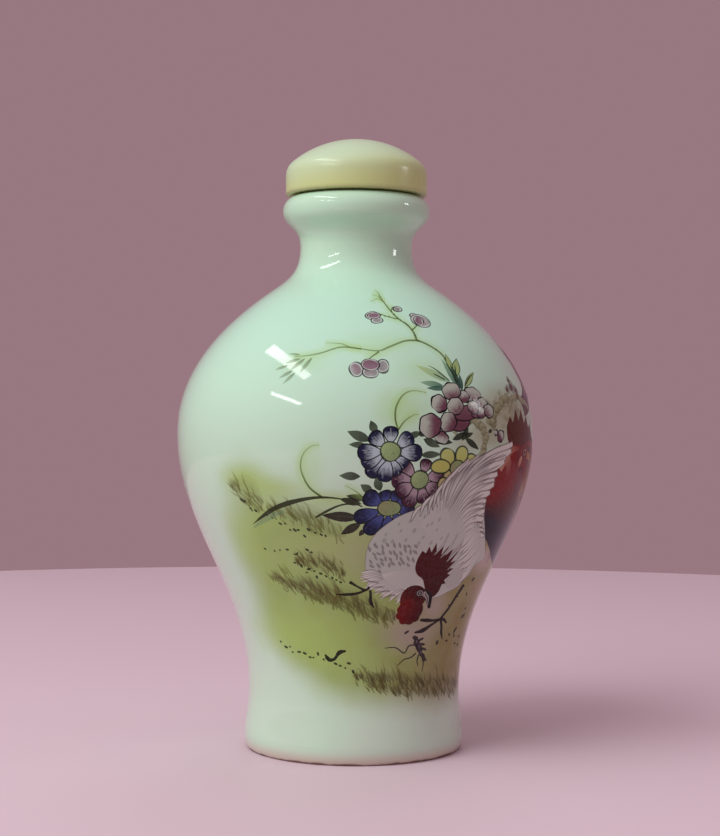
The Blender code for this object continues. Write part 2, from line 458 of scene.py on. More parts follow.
def speck_trail(start, end, specks, scatter, chance):
    """Small dark dashes strewn along a line."""
    for i in range(specks):
        t = (i + chance.uniform(0.1, 0.9)) / specks
        place = spot(start[0] + (end[0] - start[0]) * t, start[1] + (end[1] - start[1]) * t)
        place = moved(place, 90, chance.gauss(0, scatter * 0.6))
        size = chance.uniform(0.28, 0.62)
        drop(place, chance.gauss(150, 30), size, 0.14 + 0.3 * size, SPECK, corners=9)


chance = random.Random(3)
for band in GRASS_BANDS:
    grass_band(*band, chance)
for trail in SPECK_TRAILS:
    speck_trail(*trail, chance)
for degrees, height, turn, length in (
    (58, 21.4, 30, 0.7), (62, 16.8, 20, 1.0), (58, 15.2, 55, 1.1), (45, 14.0, 90, 0.6),
):
    drop(spot(degrees, height), turn, length, 0.5, SPECK, corners=9)

# A small curled worm lies on the grass in front of the birds.
WORM = enamel(0.14, 0.16, 0.08)
stroke(
    spots((-14.2, 13.0), (-12.2, 12.4), (-9.6, 12.5), (-7, 13.3), (-3.8, 13.5)),
    (0.20, 0.56, 0.36, 0.34, 0.56, 0.20), WORM,
)


GLOW_STRENGTH = 0.09


def glow(points, width, colour):
    """A soft halo of thin enamel along a line: faint strokes laid over each other, each narrower."""
    for share in (1.0, 0.78, 0.56, 0.34):
        stroke(
            points, (width * share * 0.6, width * share, width * share * 0.6),
            thin(colour, GLOW_STRENGTH),
        )


def leaf(place, turn, length, width, near, far=None, rib=None, edge=None):
    """A pointed leaf from its stalk end, with a rib or a darker edge where one is given."""
    tip = moved(place, turn, length)
    if edge:
        paint(laid(place, turn, blade(length, width, 0.45, 1.0)), edge)
        place = moved(place, turn, 0.12)
        paint(laid(place, turn, blade(length - 0.30, width - 0.24, 0.45, 1.0)), near, far, place, tip)
    else:
        paint(laid(place, turn, blade(length, width, 0.45, 1.0)), near, far, place, tip)
    if rib:
        stroke([place, moved(place, turn, 0.85 * length)], (0.12, 0.03), rib)


# Plum twigs over the shoulder: a thin stem forks twice, and carries buds and half-open blossoms.
TWIG = enamel(0.34, 0.43, 0.25, 0.88)
TWIG_TIP = enamel(0.42, 0.52, 0.34, 0.55)
KNOT = enamel(0.15, 0.20, 0.12, 0.80)
BLOSSOM_LINE = enamel(0.21, 0.15, 0.20, 0.88)
BLOSSOM_WHITE = enamel(0.74, 0.80, 0.77, 0.95)
BLOSSOM_ROSE = enamel(0.55, 0.45, 0.50, 0.96)
BLOSSOM_MAUVE = enamel(0.41, 0.27, 0.34, 0.96)
TWIGS = [
    (spots((34, 44.6), (33, 46.4), (31, 47.9), (28, 48.7), (25, 49.2), (23, 49.4)),
     (0.38, 0.30, 0.26, 0.30), TWIG),
    (spots((23, 49.4), (22.8, 50.4), (21.2, 51.3), (18.6, 51.9), (16.3, 52.8), (14.2, 54.0),
           (13.2, 54.7)), (0.30, 0.26, 0.20, 0.10), TWIG),
    (spots((18.6, 51.9), (15, 52.1), (11.5, 52.4), (9.4, 52.5)), (0.20, 0.14), TWIG),
    (spots((16.3, 52.8), (17.4, 53.3), (18.4, 53.3)), (0.14, 0.12), TWIG),
    (spots((14.2, 54.0), (11.4, 54.4), (7.4, 54.0)), (0.14, 0.06), TWIG_TIP),
    (spots((13.2, 54.7), (12.4, 55.3), (10.6, 55.5)), (0.14, 0.06), TWIG_TIP),
    (spots((14.0, 54.2), (11.4, 54.8), (8.8, 54.8)), (0.12, 0.05), TWIG_TIP),
    (spots((22.4, 50.6), (24.6, 51.0), (26.4, 51.4)), (0.20, 0.16), TWIG),
    (spots((23, 49.4), (18.2, 49.3), (12.1, 48.6), (7.9, 48.1), (2, 48.3), (-2, 48.5), (-5.2, 48.9),
           (-11, 49.0)), (0.30, 0.24, 0.26, 0.18, 0.20, 0.14, 0.06), TWIG_TIP),
    (spots((2, 48.3), (-5, 48.5), (-12, 47.8), (-17, 47.5), (-21, 47.4)), (0.20, 0.20, 0.22, 0.12),
     TWIG_TIP),
    (spots((8, 48.0), (5, 47.3), (3.5, 46.8)), (0.20, 0.12), TWIG),
]
for route, widths, far in TWIGS:
    glow(route, 1.9, HAZE_GREEN)
for route, widths, far in TWIGS:
    stroke(route, widths, TWIG, far)
chance = random.Random(21)
for route, widths, far in TWIGS[:4]:
    for i in range(2 * len(route) - 3):
        place = moved(along(route, chance.random()), chance.choice((90, -90)), chance.uniform(0.02, 0.12))
        drop(place, chance.uniform(0, 180), 0.26, 0.16, KNOT, corners=8)
LEAF_FAINT = enamel(0.36, 0.44, 0.28, 0.75)
for degrees, height, turn, length, width in (
    (-18.5, 47.2, 200, 2.0, 0.44), (-17.0, 47.2, 226, 2.3, 0.52), (-14.6, 47.3, 240, 2.4, 0.50),
    (-19, 47.6, 172, 1.5, 0.30), (-20.5, 45.8, 212, 1.8, 0.46), (-22.5, 46.4, 200, 1.6, 0.38),
    (-19.4, 45.6, 228, 1.9, 0.40),
):
    leaf(spot(degrees, height), turn, length, width, LEAF_FAINT, enamel(0.42, 0.52, 0.30, 0.40))


def cup(place, turn, length, width, blush):
    """A round petal in a double line. It blushes from its middle, the stronger the nearer blush is to 1."""
    rose = thin(BLOSSOM_ROSE, blush)
    drop(place, turn, length, width, BLOSSOM_LINE)
    drop(place, turn, length - 0.28, width - 0.28, BLOSSOM_WHITE)
    drop(place, turn, length - 0.56, width - 0.56, thin(BLOSSOM_LINE, 0.50))
    drop(
        place, turn, length - 0.74, width - 0.74, rose, BLOSSOM_WHITE, place,
        moved(place, turn, length / 2),
    )


def plum_blossom(degrees, height, size, turn, cups, core):
    """A blossom: cups as (lean, reach, length, width, blush) round a mauve core, all scaled by size."""
    middle = spot(degrees, height)
    for lean, reach, length, width, blush in cups:
        cup(moved(middle, turn + lean, reach * size), turn + lean, length * size, width * size, blush)
    length, width = core[0] * size, core[1] * size
    drop(middle, turn + 90, length, width, thin(BLOSSOM_LINE, 0.95))
    drop(middle, turn + 90, length - 0.22, width - 0.22, BLOSSOM_WHITE)
    pale, deep = moved(middle, turn, width / 2), moved(middle, turn + 180, width / 2)
    drop(middle, turn + 90, length - 0.40, width - 0.40, BLOSSOM_ROSE, BLOSSOM_MAUVE, pale, deep)


HALF_OPEN = ((-68, 1.70, 1.7, 2.0, 0.8), (85, 1.40, 1.6, 1.9, 0.25), (2, 0.95, 1.6, 2.0, 0.40))
OPEN_WIDE = (
    (0, 1.3, 1.5, 1.6, 0.5), (72, 1.3, 1.5, 1.6, 0.4), (144, 1.3, 1.5, 1.6, 0.6),
    (216, 1.3, 1.5, 1.6, 0.4), (288, 1.3, 1.5, 1.6, 0.5),
)
plum_blossom(4.8, 46.5, 1.0, 268, HALF_OPEN, (2.15, 1.65))
plum_blossom(8.0, 52.3, 1.0, 285, ((-95, 0.2, 1.7, 1.7, 0.6), (0, 0.85, 1.2, 1.5, 0.1)), (1.7, 1.15))
plum_blossom(27.6, 51.8, 1.1, -20, ((130, 0.85, 0.9, 1.1, 0.5), (20, 0.25, 2.4, 2.1, 0.6)), (1.6, 1.15))
plum_blossom(18.9, 53.1, 1.0, 20, ((0, 0.25, 1.3, 1.1, 0.4),), (0.8, 0.55))

# An old dark branch rises behind the rock and carries a second spray over the birds' far side.
BRANCH_DARK = enamel(0.27, 0.13, 0.22)
BRANCH_LIT = enamel(0.48, 0.33, 0.42, 0.55)
for route, widths, near in (
    (spots((67, 41.8), (74, 42.8), (77.6, 44.6), (77.4, 46.4), (79.6, 48.4), (85.6, 49.4), (90, 51.2),
           (97, 51.4)), (2.2, 2.7, 2.3, 2.5, 1.7, 1.0, 0.8, 0.4), BRANCH_DARK),
    (spots((77.6, 46.6), (74.2, 48.4), (74.8, 50.4)), (1.2, 0.7, 0.2), BRANCH_DARK),
    (spots((70, 42.6), (76.2, 44.4), (76.2, 46.4), (79, 48.4), (84, 49.6)), (0.2, 0.5, 0.3, 0.6, 0.1),
     BRANCH_LIT),
    (spots((76.6, 43.6), (82, 43.4), (86.6, 44.6)), (1.2, 0.6, 0.2), BRANCH_DARK),
    (spots((88, 50.6), (98, 49.6), (108, 50.2), (118, 51.4), (128, 51.2)), (0.44, 0.34, 0.26, 0.10),
     TWIG),
    (spots((97, 51.4), (103, 52.8), (106, 54.0)), (0.38, 0.14), TWIG),
    (spots((116, 51.2), (119, 52.4), (122, 53.4)), (0.20, 0.12), TWIG),
    (spots((79, 48.0), (83, 47.4), (87, 46.9)), (0.6, 0.2), TWIG),
):
    stroke(route, widths, near)
plum_blossom(98, 52.8, 0.8, 80, OPEN_WIDE, (1.3, 1.3))
plum_blossom(110, 49.4, 0.9, -60, HALF_OPEN, (2.0, 1.7))
plum_blossom(122, 53.6, 0.8, 80, HALF_OPEN, (1.7, 1.4))
plum_blossom(106.4, 54.4, 0.9, 80, ((0, 0.25, 1.3, 1.1, 0.4),), (0.8, 0.55))
plum_blossom(88, 46.6, 0.8, 10, OPEN_WIDE, (1.2, 1.2))

# Leaves where the twig meets the big flower: some teal, some yellow-green in a dark line.
TEAL = enamel(0.16, 0.34, 0.28, 0.90)
TEAL_DARK = enamel(0.08, 0.17, 0.16, 0.95)
TEAL_PALE = enamel(0.44, 0.62, 0.48, 0.75)
LEAF_YELLOW = enamel(0.66, 0.78, 0.50, 0.78)
LEAF_LINE = enamel(0.15, 0.19, 0.10, 0.92)
for degrees, height, turn, length, width, near, far, edge in (
    (31.2, 44.6, 152, 4.6, 0.95, TEAL_PALE, LEAF_YELLOW, None),
    (28.4, 44.2, 172, 2.9, 0.75, TEAL, TEAL_PALE, None),
    (29.4, 43.9, 180, 2.6, 0.60, TEAL, TEAL, None),
    (33.6, 45.2, 66, 2.9, 1.25, LEAF_YELLOW, LEAF_YELLOW, LEAF_LINE),
    (33.0, 45.6, 92, 2.8, 0.90, LEAF_YELLOW, LEAF_YELLOW, LEAF_LINE),
    (36.3, 44.0, 44, 3.1, 0.85, LEAF_YELLOW, LEAF_YELLOW, LEAF_LINE),
    (33.9, 43.8, 108, 4.3, 0.80, TEAL, TEAL_PALE, None),
    (34.4, 43.8, 98, 3.4, 0.80, TEAL_DARK, TEAL, None),
    (35.0, 43.6, 84, 2.2, 0.60, TEAL_DARK, TEAL, None),
):
    leaf(spot(degrees, height), turn, length, width, near, far, edge=edge)
for route in (
    spots((31.0, 44.8), (27.0, 46.0), (24.6, 46.5)), spots((29.4, 44.9), (26.6, 45.4), (25.6, 45.6)),
    spots((33.9, 44.6), (32.4, 46.2), (31.4, 47.4)), spots((36.6, 44.2), (39.4, 45.2), (42.2, 45.7)),
    spots((34.0, 45.4), (35.0, 46.6)),
):
    stroke(route, (0.16, 0.20, 0.05), LEAF_LINE)

# The rock beside the flowers: pale olive lumps in a ring round a hollow, with mossy scrub to the right.
ROCK = enamel(0.51, 0.52, 0.37, 0.65)
ROCK_PALE = enamel(0.65, 0.68, 0.53, 0.75)
ROCK_LINE = enamel(0.28, 0.26, 0.17, 0.55)
SCRUB = enamel(0.44, 0.43, 0.31, 0.24)
chance = random.Random(29)
for _ in range(70):
    place = spot(chance.gauss(57, 8), chance.gauss(41.4, 1.1))
    drop(
        place, chance.uniform(0, 180), chance.uniform(0.6, 1.5), chance.uniform(0.4, 0.8), SCRUB,
        corners=9,
    )
for route, lumps in (
    (spots((31.0, 38.9), (33.4, 39.7), (37.4, 40.3), (41.0, 39.8), (43.0, 38.7), (42.6, 37.5),
           (41.0, 36.4)), 17),
    (spots((46.4, 39.4), (47.2, 40.8), (49.6, 42.0), (54.0, 42.8), (59.0, 43.0), (64.6, 43.0),
           (70.0, 42.6), (74.0, 41.8)), 24),
    (spots((44.6, 40.4), (46.6, 40.0)), 3),
):
    for i in range(lumps):
        place = moved(along(route, (i + 0.5) / lumps), chance.uniform(0, 360), chance.uniform(0, 0.24))
        size, turn = chance.uniform(0.42, 0.62), chance.uniform(0, 180)
        lump = [p * (1 + 0.12 * math.cos(3 * cmath.phase(p) + i)) for p in oval(2 * size, 1.7 * size, 18)]
        paint(laid(place, turn, lump), ROCK_LINE)
        paint(laid(place, turn, [p * (1 - 0.09 / size) for p in lump]), ROCK, ROCK_PALE,
              moved(place, -80, size * 0.8), moved(place, 110, size * 0.4))
BUD_BROWN = enamel(0.34, 0.20, 0.22, 0.90)
for degrees, height, size in (
    (62, 44.3, 0.95), (58.4, 44.0, 0.6), (65, 43.9, 0.7), (61.4, 45.1, 0.5), (64.6, 43.2, 0.5),
):
    place = spot(degrees, height)
    drop(place, 60 + 9 * degrees, 2 * size, 1.7 * size, thin(BUD_BROWN, 0.55), corners=16)
    drop(moved(place, 200, 0.2), 30, 1.1 * size, 0.9 * size, BUD_BROWN, corners=12)

# Leaves of the flower clump, near black, olive and reddish, set under the flowers' edges.
LEAF_BLACK = enamel(0.11, 0.14, 0.09, 0.95)
LEAF_GREY = enamel(0.25, 0.32, 0.22, 0.92)
LEAF_RED = enamel(0.15, 0.10, 0.10, 0.96)
for degrees, height, turn, length, width, near, far in (
    (4.4, 38.0, 158, 2.7, 1.10, LEAF_BLACK, LEAF_GREY),
    (3.2, 37.5, 178, 2.0, 0.75, LEAF_BLACK, LEAF_GREY),
    (6.0, 38.8, 112, 1.5, 0.95, LEAF_GREY, LEAF_BLACK),
    (15.6, 38.4, 20, 1.8, 0.80, LEAF_BLACK, LEAF_GREY),
    (18.6, 38.7, 4, 1.2, 0.60, LEAF_BLACK, LEAF_BLACK),
    (20.4, 38.2, -24, 2.3, 0.95, LEAF_BLACK, LEAF_GREY),
    (24.0, 38.1, -8, 2.4, 0.85, LEAF_BLACK, LEAF_BLACK),
    (19.6, 36.4, 2, 2.6, 0.85, LEAF_BLACK, LEAF_GREY),
    (30.0, 38.1, 22, 2.4, 0.80, LEAF_BLACK, LEAF_BLACK),
    (33.4, 38.0, 58, 1.7, 0.75, LEAF_BLACK, LEAF_BLACK),
    (34.2, 38.4, 20, 1.5, 0.60, LEAF_BLACK, LEAF_BLACK),
    (34.6, 38.3, -32, 2.6, 0.80, LEAF_BLACK, LEAF_BLACK),
    (45.8, 39.2, 200, 0.8, 0.50, LEAF_BLACK, LEAF_BLACK),
    (1.6, 34.0, 178, 2.3, 0.95, LEAF_BLACK, LEAF_GREY),
    (5.4, 32.2, 146, 1.7, 1.00, LEAF_BLACK, LEAF_GREY),
    (7.8, 32.4, 112, 1.6, 1.00, LEAF_BLACK, LEAF_GREY),
    (3.4, 31.4, 168, 2.2, 0.80, LEAF_BLACK, LEAF_BLACK),
    (2.0, 30.9, 166, 2.6, 0.90, LEAF_RED, LEAF_BLACK),
    (1.6, 29.3, 176, 4.3, 1.25, LEAF_RED, LEAF_RED),
    (2.0, 28.7, 212, 2.7, 1.05, LEAF_RED, LEAF_RED),
    (3.2, 28.0, 236, 1.0, 0.60, LEAF_RED, LEAF_RED),
):
    leaf(spot(degrees, height), turn, length, width, near, far, rib=thin(LEAF_GREY, 0.5))

# Long blades of grass and fine tendrils that lean out of the clump.
GRASS_LONG = enamel(0.16, 0.18, 0.08, 0.96)
BLADE_SHADE = enamel(0.34, 0.50, 0.44, 0.40)
TENDRIL = enamel(0.24, 0.32, 0.12, 0.92)
TENDRIL_TIP = enamel(0.44, 0.54, 0.26, 0.55)
stroke(spots((-23, 29.9), (-29, 29.2), (-36, 27.9)), (0.3, 0.8, 0.2), BLADE_SHADE)
TENDRILS = [
    (spots((-10, 31.6), (-14, 32.8), (-16.2, 34.8), (-15.4, 36.4), (-13, 37.3), (-10.4, 37.5)),
     (0.26, 0.22, 0.16, 0.06)),
    (spots((3, 31.5), (0.4, 32.3), (-3.0, 33.0)), (0.16, 0.06)),
    (spots((12.6, 39.2), (11.8, 40.4), (12.2, 41.8), (14.5, 43.1), (17.8, 43.6), (22.2, 43.4)),
     (0.18, 0.22, 0.18, 0.08)),
    (spots((12.6, 39.2), (14.6, 40.2), (17.6, 40.9), (19, 40.9)), (0.16, 0.14, 0.06)),
]
for route, widths in TENDRILS:
    glow(route, 1.6, HAZE_GREEN)
    stroke(route, widths, TENDRIL, TENDRIL_TIP)
stroke(
    spots((2.4, 30.6), (-3.5, 31.4), (-11, 31.6), (-19, 31.1), (-27, 30.1), (-36, 28.3)),
    (0.16, 0.18, 0.36, 0.60, 0.52, 0.05), GRASS_LONG,
)
stroke(spots((-0.6, 30.9), (-4, 30.8), (-8, 30.2), (-12.6, 29.3)), (0.16, 0.22, 0.30, 0.20), GRASS_LONG)


# The big flower: round puffs crowded together, whitish at their rims and crimson where they overlap.
PUFF_PALE = enamel(0.68, 0.725, 0.67)
PUFF_MAUVE = enamel(0.50, 0.36, 0.41)
PUFF_CRIMSON = enamel(0.40, 0.25, 0.30)
PUFF_LINE = enamel(0.10, 0.06, 0.10)


def puff(degrees, height, length, width, turn, deep, chance):
    """A round petal, pale towards turn, streaked and shaded from its root for deep of its length."""
    place = spot(degrees, height)
    rim = [p * (1 + 0.045 * math.cos(6 * cmath.phase(p) + degrees)) for p in oval(length, width, 26)]
    top, root = moved(place, turn, length * 0.22), moved(place, turn + 180, length * (0.60 - 0.70 * deep))
    paint(laid(place, turn, rim), PUFF_LINE)
    paint(laid(place, turn, [p * (1 - 0.30 / width) for p in rim]), PUFF_PALE, PUFF_CRIMSON, top, root)
    for _ in range(int(5 * width)):
        lean = chance.uniform(-60, 60)
        start = moved(place, turn + 180 + 0.5 * lean, length * 0.30)
        end = moved(start, turn - 0.7 * lean, length * chance.uniform(0.25, 0.60))
        stroke([start, end], (0.22, 0.05), thin(PUFF_CRIMSON, 0.40), thin(PUFF_MAUVE, 0.15))
    for _ in range(3):
        dab = moved(place, turn + chance.uniform(-50, 50), length * chance.uniform(0.15, 0.32))
        drop(dab, turn, 0.6, 0.36, thin(PUFF_PALE, 0.55), corners=9)


chance = random.Random(17)
for degrees, height, length, width in (
    (32.4, 40.4, 3.6, 2.8), (36.4, 41.2, 4.6, 1.9), (41.6, 41.2, 3.4, 1.3),
):
    drop(spot(degrees, height), 12, length, width, PUFF_LINE)
    drop(
        spot(degrees, height), 12, length - 0.3, width - 0.3, PUFF_CRIMSON, PUFF_MAUVE,
        moved(spot(degrees, height), -90, 0.6), moved(spot(degrees, height), 90, 1.2),
    )
for degrees, height, length, width, turn, deep in (
    (26.1, 38.4, 1.5, 2.1, 250, 0.35), (38.9, 43.1, 2.3, 2.8, 85, 0.40),
    (35.4, 43.0, 1.6, 1.7, 100, 0.60), (42.6, 42.2, 1.7, 1.8, 60, 0.45), (41.4, 41.2, 1.5, 1.6, 80, 0.55),
    (38.4, 41.8, 1.7, 1.8, 90, 0.50), (44.9, 41.4, 1.8, 1.8, 30, 0.25), (31.0, 43.6, 2.2, 2.7, 105, 0.30),
    (26.0, 42.2, 2.2, 2.2, 150, 0.45), (31.6, 41.9, 2.1, 2.5, 120, 0.20),
    (28.6, 40.1, 2.3, 2.5, 150, 0.50), (22.6, 39.7, 2.9, 2.9, 178, 0.60),
):
    puff(degrees, height, length, width, turn, deep, chance)
puff(50.0, 38.5, 1.5, 1.5, 40, 0.70, chance)
puff(47.8, 38.9, 0.7, 0.8, 160, 0.70, chance)
for degrees, height, size, turn in (
    (106, 45.0, 2.4, 100), (102, 44.0, 2.1, 150), (110, 44.0, 2.2, 40), (103, 42.6, 2.1, 210),
    (109, 42.4, 2.1, 320), (106, 43.6, 2.1, 90),
):
    puff(degrees, height, size, size, turn, 0.4, chance)


# Daisies: a green button with a ring of petals, pale at their roots and capped with a deep colour.
BUTTON = enamel(0.59, 0.70, 0.48)
BUTTON_SHADE = enamel(0.51, 0.61, 0.41)
BUTTON_OLIVE = enamel(0.54, 0.56, 0.40)
DAISY_LINE = enamel(0.06, 0.07, 0.13)
DAISY_PALE = enamel(0.67, 0.745, 0.765)
DAISY_INK = enamel(0.10, 0.11, 0.25)
DAISY_MAUVE = enamel(0.63, 0.575, 0.60)
DAISY_WINE = enamel(0.27, 0.12, 0.20)
WINE_LINE = enamel(0.13, 0.05, 0.11)
DEEP_BLUE = enamel(0.25, 0.30, 0.52)
DEEP_INK = enamel(0.10, 0.115, 0.25)


def within(place, turn, forwards, aside):
    """The canvas point some millimetres forwards along a turn and then aside from it, to the left."""
    return moved(moved(place, turn, forwards), turn + 90, aside)


PETAL_LINE = 0.18


def petal(place, turn, length, width, root, tip, edge, cap):
    """A spoon-shaped petal in a dark line. Its tip's colour comes in from cap of its length."""
    paint(laid(place, turn, blade(length, width, 0.68, 0.42)), edge)
    inside = blade(length - 1.6 * PETAL_LINE, width - 2 * PETAL_LINE, 0.68, 0.42)
    start, end = moved(place, turn, cap * 0.85 * length), moved(place, turn, (cap + 0.26) * length)
    paint(laid(moved(place, turn, 0.8 * PETAL_LINE), turn, inside), root, tip, start, end)


def daisy(degrees, height, heart, petals, root, tip, edge, chance, cap=0.5, squash=1.0):
    """A daisy seen from the front. Each petal is its turn with its reach; squash flattens the button."""
    middle = spot(degrees, height)
    for turn, reach in petals:
        flat = math.hypot(math.cos(math.radians(turn)), squash * math.sin(math.radians(turn)))
        foot = moved(middle, turn, heart * 0.75 * flat)
        length = reach - heart * 0.75 * flat
        width = chance.uniform(1.85, 2.1) * min(1.0, 0.35 + 0.2 * reach)
        petal(foot, turn, length, width, root, tip, edge, cap)
        for lean in (-0.30, -0.10, 0.12, 0.30):
            side_way = moved(foot, turn + 90, width * (lean + chance.uniform(-0.05, 0.05)) * 0.6)
            start = moved(side_way, turn, length * chance.uniform(0.28, 0.40))
            end = moved(start, turn + 20 * lean, length * chance.uniform(0.15, 0.30))
            stroke([start, end], (0.05, 0.13), thin(tip, 0.10), thin(tip, 0.75))
        for _ in range(4):
            dab = within(
                foot, turn, length * chance.uniform(0.70, 0.90), width * chance.uniform(-0.28, 0.28),
            )
            drop(dab, turn + chance.uniform(-30, 30), 0.42, 0.20, thin(edge, 0.50), corners=8)
        for _ in range(3):
            glint = within(
                foot, turn, length * chance.uniform(0.60, 0.82), width * chance.uniform(-0.25, 0.25),
            )
            drop(glint, turn, 0.46, 0.16, thin(root, 0.34), corners=8)
    drop(middle, 0, 2 * heart + 0.36, (2 * heart + 0.36) * squash, LEAF_LINE)
    left, right = moved(middle, 150, heart), moved(middle, -30, heart)
    near, far = (BUTTON, BUTTON_SHADE) if squash == 1.0 else (BUTTON_OLIVE, BUTTON_SHADE)
    drop(middle, 0, 2 * heart, 2 * heart * squash, near, far, left, right)
    for _ in range(16):
        reach, turn = heart * 0.85 * math.sqrt(chance.random()), chance.uniform(0, 360)
        dot = moved(middle, turn, reach * squash)
        drop(dot, 0, 0.17, 0.17, thin(LEAF_LINE, 0.22), corners=6)


chance = random.Random(11)
daisy(
    10.8, 30.4, 1.22,
    ((66, 2.2), (30, 2.7), (-6, 3.0), (-50, 3.2), (-90, 3.4), (110, 2.3), (150, 3.3), (232, 4.1),
     (198, 4.2)),
    DEEP_BLUE, DEEP_INK, enamel(0.03, 0.03, 0.08), chance, cap=0.40, squash=0.74,
)
daisy(
    19.8, 33.6, 0.98,
    ((-145, 3.2), (-112, 3.5), (-72, 2.9), (-30, 2.8), (14, 3.1), (70, 2.5), (142, 3.0), (180, 3.4),
     (212, 3.1)),
    DAISY_MAUVE, DAISY_WINE, WINE_LINE, chance, cap=0.45,
)
daisy(
    10.4, 36.8, 1.04,
    ((318, 2.6), (284, 3.0), (228, 3.8), (204, 3.6), (258, 3.6), (36, 3.2), (357, 3.7), (182, 3.8),
     (138, 3.1), (90, 2.8)),
    DAISY_PALE, DAISY_INK, DAISY_LINE, chance, cap=0.46,
)
EVEN_PETALS = tuple((turn, 2.9) for turn in (9, 49, 89, 129, 169, 209, 249, 289, 329))
daisy(117, 40.6, 0.95, EVEN_PETALS, DAISY_PALE, DAISY_INK, DAISY_LINE, chance)
daisy(127, 43.6, 0.85, EVEN_PETALS, DAISY_MAUVE, DAISY_WINE, WINE_LINE, chance)

# The yellow flower: broad open petals round an olive heart, partly behind the hen's tail.
YELLOW = enamel(0.70, 0.77, 0.46)
YELLOW_WARM = enamel(0.69, 0.72, 0.38)
PEACH = enamel(0.67, 0.63, 0.46)
for degrees, height, turn, length, width, colour in (
    (37.6, 35.7, 60, 1.6, 1.8, YELLOW), (29.6, 33.9, 250, 1.5, 1.5, PEACH),
    (27.6, 33.2, 230, 1.3, 1.3, PEACH), (33.6, 36.4, 88, 2.0, 1.75, YELLOW),
    (28.6, 36.2, 140, 2.1, 1.8, YELLOW), (26.4, 35.1, 182, 2.5, 1.6, YELLOW_WARM),
):
    place = spot(degrees, height)
    length, width = length + 0.2, width + 0.2
    drop(place, turn, length, width, LEAF_LINE)
    drop(
        place, turn, length - 0.40, width - 0.40, YELLOW_WARM, colour, moved(place, turn + 180, 1.0),
        moved(place, turn, 0.3),
    )
heart = spot(32.0, 35.0)
drop(heart, 20, 2.0, 1.8, LEAF_LINE)
drop(heart, 20, 1.66, 1.46, BUTTON_OLIVE, BUTTON_SHADE, moved(heart, 200, 0.6), moved(heart, 20, 0.6))


def feather(root, tip, width, bend, near, far, edge, line=0.12, pointed=False):
    """A long feather from root to tip, bent sideways, with a darker edge."""
    middle = (root + tip) / 2 + 1j * (tip - root) * bend
    widths = (0.35, 0.75, 1.0, 0.95, 0.12 if pointed else 0.5)
    stroke([root, middle, tip], [w * width for w in widths], edge)
    inner_tip = tip - (tip - root) / abs(tip - root) * line
    stroke([root, middle, inner_tip], [max(w * width - 2 * line, 0.06) for w in widths], near, far)


# The rooster stands behind the hen and runs on out of sight: dark comb, red breast, dark belly and tail.
ROOSTER_RED = enamel(0.48, 0.03, 0.03)
ROOSTER_DARK_RED = enamel(0.29, 0.05, 0.06)
ROOSTER_PEACH_AND_HIGHLIGHT = enamel(0.73, 0.55, 0.46)
ROOSTER_INK = enamel(0.09, 0.02, 0.11)
ROOSTER_FACE = enamel(0.45, 0.08, 0.08)
ROOSTER_BROWN = enamel(0.33, 0.14, 0.08)
ROOSTER_GOLD = enamel(0.62, 0.42, 0.20)
TAIL_INK = enamel(0.07, 0.10, 0.13)
TAIL_TEAL = enamel(0.13, 0.29, 0.29)
TAIL_LINE = enamel(0.03, 0.04, 0.06)
LEG_BROWN = enamel(0.26, 0.18, 0.12)

tail_root = spot(104, 31.5)
for degrees, height, width, bend in (
    (128, 24.5, 1.5, 0.24), (137, 28.5, 1.6, 0.26), (142, 33.5, 1.6, 0.26), (141, 38.2, 1.6, 0.24),
    (135, 41.6, 1.5, 0.20), (127, 37.4, 1.4, 0.16), (123, 32.6, 1.3, 0.16), (119, 28.6, 1.2, 0.14),
):
    feather(tail_root, spot(degrees, height), width, bend, TAIL_INK, TAIL_TEAL, TAIL_LINE, pointed=True)
for degrees, height, turn in ((83, 17.6, 255), (90, 17.2, 275)):
    knee = spot(degrees, height)
    foot = moved(knee, turn, 3.2)
    stroke([spot(degrees + 1, 24.6), knee, foot], (1.5, 1.0, 0.5, 0.42, 0.36), LEG_BROWN)
    for lean in (-78, -38, 0, 95):
        stroke([foot, moved(foot, turn + lean, 1.6)], (0.34, 0.12), LEG_BROWN)

comb = spots((53.8, 38.2), (53.4, 39.6))
for degrees, height, low_height in (
    (55.8, 40.8, 40.0), (60.1, 41.6, 40.3), (64.6, 41.6, 40.0), (69, 40.9, 39.5), (73, 40, 38.8),
):
    comb += spots((degrees, height), (degrees + 1.6, low_height))
comb += spots((79, 37.6), (74, 36.4), (64, 36.0), (57, 36.4))
paint(comb, ROOSTER_DARK_RED)
paint(
    [p + (spot(64, 38.2) - p) * 0.05 for p in comb], ROOSTER_BROWN, ROOSTER_DARK_RED, spot(62, 38.4),
    spot(72, 37.6),
)
stroke(
    spots((54.4, 39.4), (56.6, 38.4), (60, 37.4)), (0.3, 0.8, 0.2), thin(ROOSTER_DARK_RED, 0.6),
    thin(ROOSTER_DARK_RED, 0.2),
)

BODY_SPACING = 0.8
body = closed_path(
    spots((46, 36.4), (55, 37.4), (64, 37.4), (72, 37.8), (78, 37.4), (88, 35.2), (99, 34.0), (106, 32.6),
          (108, 29.6), (102, 25.4), (92, 23.0), (80, 22.4), (70, 23.4), (62, 24.8), (54, 26.4),
          (47, 27.6), (44, 31)),
    BODY_SPACING,
)
paint(body, ROOSTER_RED, ROOSTER_DARK_RED, spot(56, 32.4), spot(58, 29.8))
